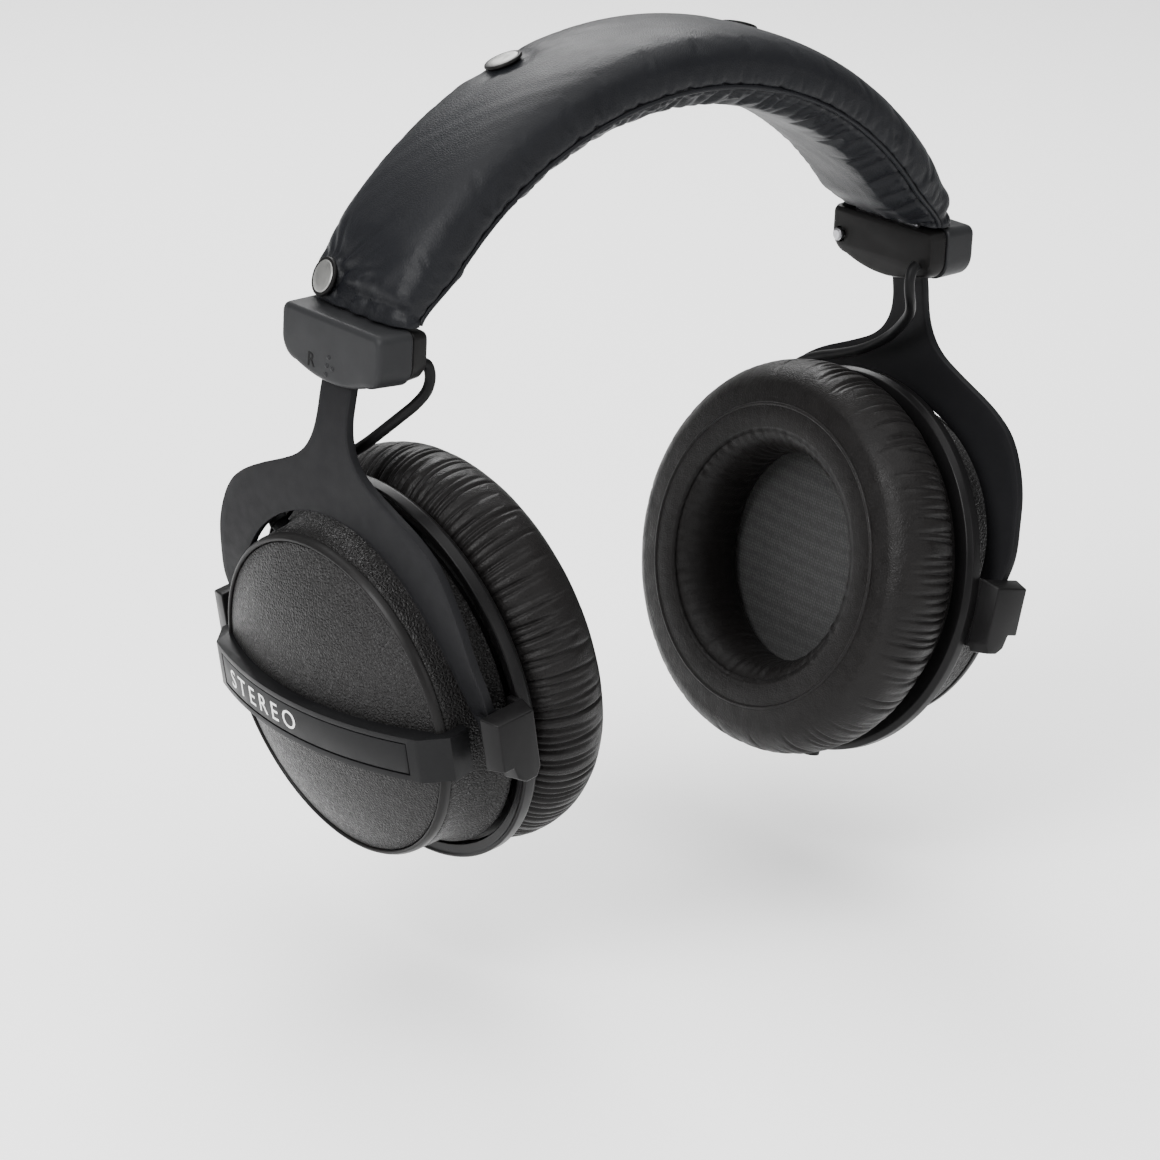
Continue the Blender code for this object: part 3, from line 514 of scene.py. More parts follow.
def settle_leather(rows, pins, shape, growth, pressure):
    """Cloth simulation of a stuffed skin that is a little too large between its seams.

    Returns how far each point moved along the surface's normal, in metres.
    """
    coarse = resample(rows, shape) * CLOTH_SCALE
    hold = resample(pins, shape)
    mesh = plain_grid("leather", coarse)
    bm = bmesh.new()
    bm.from_mesh(mesh)
    bmesh.ops.recalc_face_normals(bm, faces=bm.faces)
    bm.to_mesh(mesh)
    bm.free()
    obj = link_object("leather", mesh)
    group = obj.vertex_groups.new(name="held")
    for k, weight in enumerate(hold.reshape(-1)):
        group.add([k], float(min(max(weight, 0.0), 1.0)), "REPLACE")
    normals = np.array([v.normal for v in mesh.vertices])
    cloth = obj.modifiers.new("cloth", "CLOTH")
    settings = cloth.settings
    settings.quality = 6
    settings.mass = 0.3
    settings.tension_stiffness = settings.compression_stiffness = 15
    settings.shear_stiffness = 5
    settings.bending_stiffness = 0.6
    settings.vertex_group_mass = "held"
    settings.use_pressure = True
    settings.uniform_pressure_force = pressure
    settings.shrink_min = -growth
    settings.effector_weights.gravity = 0.0
    cloth.collision_settings.use_collision = False
    cloth.point_cache.frame_start = 1
    cloth.point_cache.frame_end = CLOTH_FRAMES
    scene = bpy.context.scene
    for step in range(1, CLOTH_FRAMES + 1):
        scene.frame_set(step)
    moved_mesh = obj.evaluated_get(bpy.context.evaluated_depsgraph_get()).to_mesh()
    moved = np.array([v.co for v in moved_mesh.vertices])
    scene.frame_set(1)
    bpy.data.objects.remove(obj)
    shift = ((moved - coarse.reshape(-1, 3)) * normals).sum(axis=1) / CLOTH_SCALE
    shift = np.nan_to_num(shift).reshape(shape)
    return resample(shift, rows.shape[:2])


# --- cups ---

def cup_matrix(side):
    out = Vector((side * math.cos(CUP_TILT), 0, -math.sin(CUP_TILT)))
    up = Vector((side * math.sin(CUP_TILT), 0, math.cos(CUP_TILT)))
    matrix = Matrix((up, out.cross(up), out)).transposed().to_4x4()
    matrix.translation = (side * PIVOT_X, 0, PIVOT_Z)
    return matrix


def dome_outline(rim_r, rim_w, rise):
    steps = 28
    radius = (rim_r ** 2 + rise ** 2) / (2 * rise)
    centre = rim_w + rise - radius
    edge = math.asin(rim_r / radius)
    return [(radius * math.sin(edge * k / steps), centre + radius * math.cos(edge * k / steps))
            for k in range(steps + 1)]


def build_dome(name, matrix):
    """Shell with a bead round its rim, and the grained dome seated inside the bead."""
    side = mm((40.15, 10.6), (40.25, 7.5), (40.5, 3.0), (41.0, 0.2), (42.0, -2.2), (44.2, -4.9))
    inner = mm((41.4, -4.9), (39.8, -2.0), (38.4, 1.0), (37.9, 9.0), (36.9, 9.0), (36.9, 10.9))
    shell = turned("shell_side_" + name, side + inner, SIDE_GRAIN, matrix, radius=1.6 * MM)
    rim = turned("rim_bead_" + name,
                 offset_from(RIM_R, RIM_W, (-1.45, 0.25), (-1.1, 0.58), (-0.6, 0.50),
                             (0.02, -0.45), (0.22, -1.9), (-1.45, -1.9)),
                 RIM_SATIN, matrix, radius=0.45 * MM)
    dome = dome_outline(RIM_R - 1.6 * MM, RIM_W + 0.12 * MM, DOME_RISE)
    lip = offset_from(RIM_R, RIM_W, (-1.5, -0.5), (-1.5, -1.1))
    outline = dome + lip + [(0.0, RIM_W - 1.1 * MM)]
    cap = turned("dome_" + name, outline, DOME_GRAIN, matrix, radius=0.5 * MM)
    place_piece(shell, "cup_" + name, "shell_plastic", "cup_shell_" + name)
    place_piece(rim, "cup_" + name, "shell_plastic")
    place_piece(cap, "cup_" + name, "shell_plastic", "cup_cap_" + name)


def bar_face(y, lift=0.0):
    arc_r = (BAR_HALF_FACE ** 2 + BAR_FACE_RISE ** 2) / (2 * BAR_FACE_RISE)
    return (y, BAR_FACE_W - arc_r + math.sqrt(arc_r ** 2 - y ** 2) + lift)


def face_strip(name, low, high, half, margin, material):
    """Slab that follows the bar's face, kept inside the bar's edges by a margin."""
    places = [half * k / 40 for k in range(-40, 41)]
    outline = [bar_face(y, high) for y in places] + [bar_face(y, low) for y in reversed(places)]
    return add_mesh(name, prism_mesh(name, outline, BAR_LOW_V + margin, BAR_HIGH_V - margin,
                                     "yzx"), material)


def build_badge(name, matrix):
    end_w = BAR_FACE_W - BAR_FACE_RISE
    top = [bar_face(BAR_HALF_FACE * k / 30) for k in range(-30, 31)]
    ends = [(BAR_END_Y, end_w - 5.5 * MM), (BAR_END_Y - 0.6 * MM, 6.3 * MM)]
    outline = top + ends + [(-y, w) for y, w in reversed(ends)]
    bar = add_mesh("badge_bar_skin_" + name,
                   prism_mesh("bar", outline, BAR_LOW_V, BAR_HIGH_V, "yzx"), BADGE_SATIN)
    core = dome_outline(RIM_R - 0.9 * MM, RIM_W - 0.6 * MM, DOME_RISE)
    under = core + [(RIM_R + 0.1 * MM, RIM_W - 0.8 * MM), (RIM_R + 0.4 * MM, 2.0 * MM),
                    (0.0, 2.0 * MM)]
    cut_away(bar, turned("under", under, BADGE_SATIN, None, steps=120, radius=0.1 * MM))
    edge = 1.35 * MM
    cut_away(bar, face_strip("recess", -0.7 * MM, 2 * MM, 34.9 * MM, edge, BADGE_SATIN))
    bevelled(bar, 0.4 * MM, 3)
    plate = face_strip("badge_label_" + name, -0.65 * MM, -0.08 * MM, 34.55 * MM,
                       edge + 0.35 * MM, BADGE_SATIN)
    bevelled(plate, 0.12 * MM, 2)
    # Painted shade: a slab darker than the bar, laid on the groove's floor round the label plate.
    floor = face_strip("badge_groove_" + name, -0.72 * MM, -0.66 * MM, 34.85 * MM,
                       edge + 0.03 * MM, GROOVE_SHADE_AND_LETTER_BLACK)
    for piece in (bar, plate, floor):
        piece.data.transform(matrix)
    place_piece(bar, "cup_" + name, "badge_plastic", "badge_bar_" + name)
    place_piece(plate, "cup_" + name, "badge_plastic", "badge_plate_" + name)
    place_piece(floor, "cup_" + name, "badge_plastic")


def text_mesh(name, words, size, thickness):
    curve = bpy.data.curves.new(name, "FONT")
    curve.body = words
    curve.size = size
    curve.extrude = thickness / 2
    curve.resolution_u = 6
    curve.space_character = 1.45
    obj = link_object(name, curve)
    mesh = evaluated_mesh(obj)
    bpy.data.objects.remove(obj)
    return mesh


def build_label(name, matrix):
    """A plain generic word printed on the label, bent to the bar's curve."""
    mesh = text_mesh("label_word", "STEREO", 6.6 * MM, 0.06 * MM)
    start_y = 30.0 * MM
    base_v = (BAR_LOW_V + BAR_HIGH_V) / 2 - 2.3 * MM
    for vertex in mesh.vertices:
        reading, height, out = vertex.co
        y = start_y - reading
        vertex.co = (base_v + height, y, bar_face(y)[1] - 0.04 * MM + out)
    word = add_mesh("label_print_" + name, mesh, PRINT, matrix)
    place_piece(word, "cup_" + name, "badge_plastic")


PAD_STEPS = 1080
WALL_POINTS = 40
PLEATS = 132
PLEAT_DEPTH = 0.85 * MM


def pad_outline():
    """Section of the cushion: its outer wall, the side to the ear, the hole and the back."""
    wall = arc((PAD_WIDE_R - 9.3 * MM, -21.2 * MM), (9.2 * MM, 11.2 * MM), 78, -72, WALL_POINTS)
    wall[0] = (43.6 * MM, -9.3 * MM)
    face = mm(*((38.5 - 1.3 * k, -32.45 - 0.35 * math.sin(math.pi * k / 6)) for k in range(7)))
    hole = arc((31.6 * MM, -21.9 * MM), (5.6 * MM, 10.3 * MM), -82, -260, 26)
    return np.array(wall + face + hole + mm((33.5, -11.3), (38.0, -11.3), (40.8, -11.2),
                                            (40.8, -9.4)))


def pleat_dents(random, theta, along):
    """How deep the gathers are, by angle round the pad and place along its section."""
    folds = (np.arange(PLEATS) + random.uniform(-0.32, 0.32, PLEATS)) * 2 * math.pi / PLEATS
    strength = random.uniform(0.55, 1.15, PLEATS)
    width = random.uniform(0.15, 0.26, PLEATS) * 2 * math.pi / PLEATS
    reach = random.uniform(0.75, 1.15, PLEATS)
    drift = random.uniform(-0.6, 0.6, PLEATS) * 2 * math.pi / PLEATS
    dent = np.zeros((len(theta), len(along)))
    for k in range(PLEATS):
        gap = np.angle(np.exp(1j * (theta - (folds[k] + drift[k] * along))))
        fade = np.clip(along / 0.10, 0, 1) * np.clip((reach[k] * 0.80 - along) / 0.30, 0, 1)
        dent += strength[k] * fade * np.exp(-(gap / width[k]) ** 2)
    return dent


def build_ear_pad(name, matrix, seed):
    """Leather cushion: a revolved section, gathered into pleats round its outer wall."""
    random = np.random.default_rng(seed)
    profile = pad_outline()
    theta = np.linspace(0, 2 * math.pi, PAD_STEPS, endpoint=False)[:, None]
    along = np.ones(len(profile))
    along[:WALL_POINTS] = np.linspace(0, 1, WALL_POINTS)
    wall = (along < 1.0) * np.sin(along * math.pi) ** 0.5
    hole = np.zeros(len(profile))
    hole[WALL_POINTS + 4:WALL_POINTS + 30] = np.sin(np.linspace(0, math.pi, 26))
    move = -PLEAT_DEPTH * pleat_dents(random, theta, along) + 0.25 * MM * wall
    for rate, size in ((5, 0.16), (9, 0.10), (23, 0.10)):
        wave = np.sin(rate * theta + random.uniform(0, 6) + 3 * along)
        move += 0.30 * MM * size * wave * wall
    for rate in (31, 47, 66):
        move += 0.0768 * MM * np.sin(rate * theta + random.uniform(0, 6)) * hole
    tangent = np.gradient(profile, axis=0)
    normal = np.stack([-tangent[:, 1], tangent[:, 0]], axis=1)
    normal /= np.maximum(np.linalg.norm(normal, axis=1, keepdims=True), 1e-9)
    normal *= math.copysign(1.0, normal[5, 0])
    radius = profile[:, 0] + move * normal[:, 0]
    height = profile[:, 1] + move * normal[:, 1]
    rows = np.stack([np.cos(theta) * radius, np.sin(theta) * radius, height], axis=2)
    pad = add_mesh("ear_pad_skin_" + name, grid_mesh("pad", rows, wrap_rows=True), PAD_LEATHER,
                   matrix, 180)
    place_piece(pad, "cup_" + name, "pad_leather", "ear_pad_" + name)
    seam = turned("ear_pad_seam_" + name,
                  mm((38.2, -32.55), (37.6, -33.0), (37.0, -32.6), (37.6, -32.2)), PAD_LEATHER,
                  matrix, steps=240, radius=0.3 * MM)
    place_piece(seam, "cup_" + name, "pad_leather")


def build_ring(name, matrix):
    ring = turned("pad_ring_skin_" + name,
                  mm((44.9, -5.3), (47.0, -5.2), (47.5, -4.75), (48.1, -5.0), (48.25, -7.6),
                     (47.2, -9.0), (42.0, -9.0), (42.0, -7.6), (44.9, -7.6)),
                  RING_SATIN, matrix, steps=200, radius=0.35 * MM)
    place_piece(ring, "cup_" + name, "ring_plastic", "pad_ring_" + name)
    cloth = turned("ear_cloth_skin_" + name,
                   mm((0, -10.2), (38.8, -10.2), (38.8, -10.8), (26, -11.0), (0, -10.7)),
                   CLOTH, matrix, steps=96, radius=0.2 * MM)
    place_piece(cloth, "cup_" + name, "foam_grey", "ear_cloth_" + name)


BLOCK_OUTLINE = ((-5.4, -7.2), (-3.8, -9.8), (0.2, -9.8), (2.6, -8.2), (3.7, -4.6),
                 (7.3, -4.6), (7.3, 8.7), (-5.4, 8.7))


def build_blocks(name, side, matrix):
    """Stepped, faceted pivot blocks on the flange; the yoke's tips turn behind them."""
    for place, turn in (("front", -1), ("rear", 1)):
        local = -side * turn
        mesh = prism_mesh("block", mm(*BLOCK_OUTLINE),
                          local * 48.4 * MM, local * 53.6 * MM, "zxy")
        for vertex in mesh.vertices:
            if abs(vertex.co.y) > 50 * MM:
                vertex.co.z = 0.4 * MM + (vertex.co.z - 0.4 * MM) * 0.80
                vertex.co.x = -0.3 * MM + (vertex.co.x + 0.3 * MM) * 0.90
        block = add_mesh("pivot_block_%s_skin_%s" % (place, name), mesh, RING_SATIN)
        bevelled(block, 0.4 * MM, 3, 20)
        block.data.transform(matrix)
        foot = add_mesh("pivot_foot_%s_%s" % (place, name),
                        prism_mesh("foot", [(local * y * MM, w * MM) for y, w in (
                            (45.0, -5.0), (48.9, -5.0), (48.9, -3.4), (45.0, -3.4))],
                            -8.5 * MM, 8.5 * MM, "yzx"), RING_SATIN)
        bevelled(foot, 0.35 * MM, 2, 20)
        foot.data.transform(matrix)
        place_piece(block, "cup_" + name, "ring_plastic", "pivot_block_%s_%s" % (place, name))
        place_piece(foot, "cup_" + name, "ring_plastic")
        paint("yoke_tip_%s_%s" % (place, name), YOKE_PAINT)
        paint("pivot_pin_%s_%s" % (place, name), STEEL)


def paint_inner_parts(name):
    for node, material in (("baffle", RING_SATIN), ("driver_frame", RING_SATIN),
                           ("driver_magnet", STEEL), ("diaphragm", FILM),
                           ("damping_felt", FELT), ("detent_spring", STEEL),
                           ("slider_screw", STEEL)):
        paint(node + "_" + name, material)


# --- yokes ---

def bow_x(height):
    drop = STEM_CENTRE_Z - height
    if drop < 0:
        return STEM_CENTRE_X + math.sqrt(STEM_R ** 2 - drop ** 2)
    reach = drop / MM
    return STEM_CENTRE_X + STEM_R - (0.003 * reach ** 2 + 3.2e-7 * reach ** 4) * MM


WIDTH_POINTS = ((0, 47.2), (6, 48.0), (12, 48.3), (20, 46.6), (28, 44.6), (34, 42.0), (38, 39.6),
                (41.5, 36.4), (44, 32.8), (46.5, 28.0), (49, 22.0), (51, 17.4), (53, 13.2),
                (55.5, 9.8), (58, 7.8), (61, 6.4), (65, 5.6), (70, 5.5), (120, 5.5))


def yoke_half_width(height):
    """Smooth curve through the yoke's half widths above the pivot line."""
    levels, widths = zip(*WIDTH_POINTS)
    slopes = np.gradient(np.array(widths), np.array(levels, float))
    level = height / MM
    k = int(np.clip(np.searchsorted(levels, level) - 1, 0, len(levels) - 2))
    span = levels[k + 1] - levels[k]
    t = (level - levels[k]) / span
    start = widths[k] * (2 * t ** 3 - 3 * t ** 2 + 1) + slopes[k] * span * (t ** 3 - 2 * t ** 2 + t)
    end = widths[k + 1] * (3 * t ** 2 - 2 * t ** 3) + slopes[k + 1] * span * (t ** 3 - t ** 2)
    return (start + end) * MM


def build_yoke(name, side):
    """The bent steel sheet, finer than the frame's and with softened edges."""
    bm = bmesh.new()
    tip = PIVOT_Z + 3.5 * MM
    crown = PIVOT_Z + YOKE_INNER_R
    arms = [tip + (crown - tip) * math.sin(math.radians(90 * k / 44)) for k in range(45)]
    stem = [crown + (YOKE_TOP_Z - crown) * k / 56 for k in range(1, 57)]

    def row(height, low, high, columns):
        x = bow_x(height)
        slope = (bow_x(height + 0.5 * MM) - bow_x(height - 0.5 * MM)) / MM
        normal = Vector((1, 0, -slope)).normalized()
        found = []
        for k in range(columns + 1):
            point = Vector((x, low + (high - low) * k / columns, height))
            back = point - normal * YOKE_THICK
            found.append((bm.verts.new((side * point.x, point.y, point.z)),
                          bm.verts.new((side * back.x, back.y, back.z))))
        return found

    def sheet(first, second):
        for k in range(len(first) - 1):
            for face in (0, 1):
                bm.faces.new((first[k][face], first[k + 1][face],
                              second[k + 1][face], second[k][face]))
        for end in (0, -1):
            bm.faces.new((first[end][0], first[end][1], second[end][1], second[end][0]))

    def end_cap(strip):
        for first, second in zip(strip, strip[1:]):
            bm.faces.new((first[0], second[0], second[1], first[1]))

    rows = []
    for z in arms:
        wide = yoke_half_width(z - PIVOT_Z)
        hole = math.sqrt(max(YOKE_INNER_R ** 2 - (z - PIVOT_Z) ** 2, 0))
        rows.append((row(z, -wide, -hole, 6), row(z, hole, wide, 6)))
    for half in (0, 1):
        for first, second in zip(rows, rows[1:]):
            sheet(first[half], second[half])
        end_cap(rows[0][half])
    joined = [rows[-1][0] + rows[-1][1][1:]]
    joined += [row(z, -yoke_half_width(z - PIVOT_Z), yoke_half_width(z - PIVOT_Z), 12)
               for z in stem]
    for first, second in zip(joined, joined[1:]):
        sheet(first, second)
    end_cap(joined[-1])
    bmesh.ops.remove_doubles(bm, verts=bm.verts, dist=0.000005)
    bmesh.ops.recalc_face_normals(bm, faces=bm.faces)
    mesh = bpy.data.meshes.new("yoke")
    bm.to_mesh(mesh)
    bm.free()
    yoke = add_mesh("yoke_skin_" + name, mesh, YOKE_PAINT)
    bevelled(yoke, 0.3 * MM, 2, 60)
    place_piece(yoke, "yoke_assembly_" + name, "yoke_paint", "yoke_" + name)


# --- slider housings ---

SIDE_DOTS = ((0.0, -48.4), (-0.6, -50.5), (1.4, -50.7), (-0.9, -52.6))


def housing_outline(inset):
    """Shield outline with rounded shoulders and a bottom edge that bows down."""
    half = HOUSING_HALF_WIDTH - inset
    top, bottom = HOUSING_TOP_Z - inset, HOUSING_BOTTOM_Z + inset
    shoulder, corner, sag = 2.2 * MM - inset * 0.5, 5.5 * MM - inset * 0.5, 2.2 * MM
    right = arc((half - shoulder, top - shoulder), (shoulder, shoulder), 90, 0, 7)
    right += arc((half - corner, bottom + sag + corner), (corner, corner), 0, -90, 13)
    for k in range(1, 9):
        share = 1 - k / 9
        right.append((share * (half - corner), bottom + sag * share * share))
    return right + [(-y, z) for y, z in reversed(right)]


def rounded_block(name, side, steps, material):
    """Loft the shield outline through (x, inset) steps."""
    rows = np.zeros((len(steps), len(housing_outline(0)), 3))
    for row, (x, inset) in zip(rows, steps):
        for point, (y, z) in zip(row, housing_outline(inset)):
            point[:] = (side * x, y, z)
    return add_mesh(name, grid_mesh(name, rows, caps=True), material, degrees=30)


def facing(place, turn):
    """Frame at a place whose Z runs out along X, to the side of turn's sign."""
    return Matrix.Translation(place) @ Matrix.Rotation(math.radians(90 * turn), 4, "Y")


def stem_channel(side, gap):
    rows = []
    for k in range(37):
        angle = math.radians(-12 + 48 * k / 36)
        row = []
        for radius, y in ((STEM_R + gap, 1), (STEM_R + gap, -1),
                          (STEM_R - YOKE_THICK - gap, -1), (STEM_R - YOKE_THICK - gap, 1)):
            row.append((side * (STEM_CENTRE_X + radius * math.cos(angle)),
                        y * (5.5 * MM + gap), STEM_CENTRE_Z + radius * math.sin(angle)))
        rows.append(row)
    return add_mesh("channel", grid_mesh("channel", np.array(rows), caps=True), HOUSING_DARK)


def build_housing(name, side):
    radius = 1.5 * MM
    steps = [(HOUSING_SPLIT_X + 0.15 * MM, 0.25 * MM), (HOUSING_SPLIT_X + 0.4 * MM, 0.0)]
    for k in range(9):
        angle = math.radians(90.0 * k / 8)
        steps.append((HOUSING_OUTER_X - radius * (1 - math.sin(angle)),
                      0.25 * MM + radius * (1 - math.cos(angle))))
    cover = rounded_block("slider_cover_skin_" + name, side, steps, HOUSING)
    cut_away(cover, stem_channel(side, 0.35 * MM))
    shade(cover.data, 30)
    place_piece(cover, "headband", "housing_plastic", "slider_cover_" + name)
    base_steps = [(HOUSING_INNER_X, 2.0 * MM), (HOUSING_INNER_X + 0.35 * MM, 1.2 * MM),
                  (HOUSING_INNER_X + 1.1 * MM, 0.8 * MM), (HOUSING_SPLIT_X - 0.5 * MM, 0.45 * MM),
                  (HOUSING_SPLIT_X - 0.15 * MM, 0.75 * MM)]
    base = rounded_block("slider_base_skin_" + name, side, base_steps, HOUSING_DARK)
    cut_away(base, stem_channel(side, 0.35 * MM))
    sink_place = (side * HOUSING_INNER_X, 14.3 * MM, HOUSING_TOP_Z - 8.0 * MM)
    sink = turned("sink", mm((0, 2.0), (2.0, 2.0), (2.0, -1.2), (0, -1.2)), HOUSING_DARK,
                  facing(sink_place, -side), steps=32, radius=0.05 * MM)
    cut_away(base, sink)
    shade(base.data, 30)
    place_piece(base, "headband", "housing_plastic", "slider_base_" + name)


def build_side_mark(name, side):
    """The side's letter and four raised dots, on the housing's outer face."""
    letter = text_mesh("letter", name.upper(), 4.6 * MM, 0.16 * MM)
    for vertex in letter.vertices:
        reading, height, out = vertex.co
        vertex.co = (side * (HOUSING_OUTER_X + 0.02 * MM + out), side * (reading - 7.9 * MM),
                     -52.0 * MM + height)
    mark = add_mesh("side_letter_" + name, letter, GROOVE_SHADE_AND_LETTER_BLACK)
    place_piece(mark, "headband", "housing_plastic")
    outline = mm((0, 0.34), (0.35, 0.28), (0.6, 0.0), (0.6, -0.3), (0, -0.3))
    for k, (across, height) in enumerate(mm(*SIDE_DOTS)):
        dot = turned("side_dot_%d_%s" % (k, name), outline, HOUSING,
                     facing((side * HOUSING_OUTER_X, side * across, height), side), steps=24,
                     radius=0.12 * MM)
        place_piece(dot, "headband", "housing_plastic")


# --- headband ---

def pad_stations(arc_count, bend_count):
    """Stations (centre, outward, half depth, half width) from the right end to the left."""
    leave = math.radians(50.0)
    half = [Vector((PAD_MID_R * math.sin(leave * k / arc_count), 0,
                    ARC_Z + PAD_MID_R * math.cos(leave * k / arc_count)))
            for k in range(arc_count + 1)]
    start = half[-1]
    direction = Vector((math.cos(leave), 0, -math.sin(leave)))
    chord = (PAD_END - start).length
    half += bezier(start, start + direction * chord * 0.4, PAD_END + Vector((0, 0, 3.5 * MM)),
                   PAD_END, bend_count)
    path = [Vector((-p.x, 0, p.z)) for p in reversed(half[1:])] + half
    stations = []
    for k, centre in enumerate(path):
        before, after = path[max(k - 1, 0)], path[min(k + 1, len(path) - 1)]
        along = (after - before).normalized()
        outward = Vector((-along.z, 0, along.x))
        share = min(max((start.z - centre.z) / (start.z - PAD_END.z), 0.0), 1.0)
        share = share * share * (3 - 2 * share)
        stations.append((centre, outward,
                         PAD_HALF_DEPTH + (PAD_END_HALF - PAD_HALF_DEPTH) * share,
                         PAD_HALF_WIDTH - 0.8 * MM * share))
    return stations


SNAP_Y = 10.8 * MM
SNAP_R = 4.6 * MM
SEAMS = (("front", math.radians(180 + 14)), ("rear", math.radians(360 - 14)))
SWELL_LIMIT = 0.8
OUTER_CALM = 0.68
LEATHER_THICK = 1.3 * MM


def pad_point(station, width):
    centre, outward, half_depth, half_width = station
    share = min(abs(width) / half_width, 1.0)
    depth = (1 - share ** SECTION_POWER) ** (1 / SECTION_POWER) * half_depth
    return centre + outward * depth + Vector((0, width, 0))


def snap_frame(stations, index, lift):
    along = pad_point(stations[index + 1], SNAP_Y) - pad_point(stations[index - 1], SNAP_Y)
    across = (pad_point(stations[index], SNAP_Y + MM) - pad_point(stations[index], SNAP_Y - MM))
    normal = along.cross(across).normalized()
    normal *= math.copysign(1.0, normal.dot(stations[index][1]))
    point = pad_point(stations[index], SNAP_Y) + normal * lift
    return Matrix.Translation(point) @ normal.to_track_quat("Z", "Y").to_matrix().to_4x4()


def smooth_step(value, low, high):
    share = np.clip((value - low) / (high - low), 0, 1)
    return share * share * (3 - 2 * share)


def rays(along, across, origin, angles, width, inner, outer, spread):
    """Creases that leave a point in a fan; along and across are distances in mm."""
    total = np.zeros_like(along + across)
    for angle in angles:
        cosine, sine = math.cos(math.radians(angle)), math.sin(math.radians(angle))
        forward = (along - origin[0]) * cosine + (across - origin[1]) * sine
        off = (across - origin[1]) * cosine - (along - origin[0]) * sine
        off = off + 0.02 * forward * forward * math.sin(angle)
        fade = smooth_step(forward, inner * 0.5, inner) * (1 - smooth_step(forward, inner, outer))
        total += fade * np.exp(-(off / (width + spread * np.clip(forward, 0, 40))) ** 2)
    return total


def skin_relief(travel, total, angles, across, upper_at, lower_at):
    """Height of the leather over the plain cushion, in mm (stations by section points)."""
    end = np.minimum(travel, total - travel)[:, None]
    side = np.where(travel < total / 2, 0.0, 2.0)[:, None]
    top = smooth_step(np.sin(angles), -0.05, 0.55)[None, :]
    under = smooth_step(-np.sin(angles), -0.1, 0.35)[None, :]
    wide = across[None, :] * np.ones_like(end)
    relief = np.zeros((len(travel), len(angles)))
    soft, slow = ripple(4, 6, 0.05, 0.16), ripple(9, 6, 0.10, 0.34)
    relief += 0.11 * soft(travel[:, None] + 0.9 * wide) * slow(wide + 0.25 * end)
    relief += 0.05 * ripple(21, 8, 0.3, 0.9)(travel[:, None] * 0.8 + wide * 1.3)
    # creases that fan out from the lower snap towards the front corner
    relief -= 0.85 * top * rays(end, wide, (lower_at, 10.8),
                                (-44, -62, -77, -89, -101, -114), 0.75, 5.2, 25, 0.05)
    relief -= 0.30 * top * rays(end, wide, (lower_at, 10.8), (-14, 12, 36), 0.7, 5.0, 17, 0.03)
    # gathers just above the housing
    gather = ripple(33, 7, 0.55, 1.25)(wide + side + 0.15 * end)
    relief += 0.70 * gather * np.exp(-(end / 7.5) ** 2)
    relief -= 0.9 * np.exp(-((end - 2.4) / 1.0) ** 2) * (0.6 + 0.4 * top)
    relief += 0.75 * np.exp(-((end - 5.2) / 2.4) ** 2) * top
    # dimple and short creases round the upper snap
    for at in (upper_at, lower_at):
        near = np.hypot(end - at, wide - 10.8)
        relief -= 0.45 * top * np.exp(-((near - 5.6) / 2.4) ** 2)
    relief -= 0.28 * top * rays(end, wide, (upper_at, 10.8), (-12, -40, -150), 0.9, 5.0, 17,
                                0.06)
    # pleats of the underside, gathered into the front and rear seams
    random = np.random.default_rng(12)
    place = 6.0
    while place < total - 6.0:
        depth, width = random.uniform(0.35, 0.95), random.uniform(0.7, 1.4)
        slant = random.uniform(-0.20, 0.20)
        offset = travel[:, None] - place - slant * (np.abs(wide) - 12)
        reach = smooth_step(np.abs(wide), random.uniform(2, 9), 17.0)
        relief -= depth * under * reach * np.exp(-(offset / width) ** 2)
        place += random.uniform(4.2, 8.5)
    # puff between pleats and the seam grooves
    for _, seam in SEAMS:
        gap = seam_gap(angles, seam) * 9.0
        relief -= 0.75 * np.exp(-(gap / 0.55) ** 2)
        relief += 0.30 * np.exp(-((np.abs(gap) - 1.8) / 1.1) ** 2)
    return relief


def seam_gap(angles, seam):
    return np.angle(np.exp(1j * (angles - seam)))


def cushion_swell(plain, stations, angles, snaps):
    """Swelling of the stuffed leather between its ends, seams and snaps, in mm."""
    pins = np.zeros(plain.shape[:2])
    pins[:6] = pins[-6:] = 1.0
    for _, seam in SEAMS:
        pins[:, np.abs(seam_gap(angles, seam)) < 0.05] = 1.0
    for index in snaps:
        snap = np.array(pad_point(stations[index], SNAP_Y))
        pins[np.linalg.norm(plain - snap, axis=2) < SNAP_R + 0.4 * MM] = 1.0
    shift = settle_leather(plain, pins, CLOTH_GRID, CLOTH_GROWTH, CLOTH_PRESSURE) / MM
    calm = 1 - OUTER_CALM * smooth_step(np.sin(angles), -0.35, 0.25)
    return np.clip(shift, -SWELL_LIMIT, SWELL_LIMIT) * calm


def section_points(station, depth, width):
    """Points at distances outward from a station's centre and across the band."""
    return np.array(station[0]) + np.outer(depth, station[1]) + np.outer(width, (0, 1, 0))


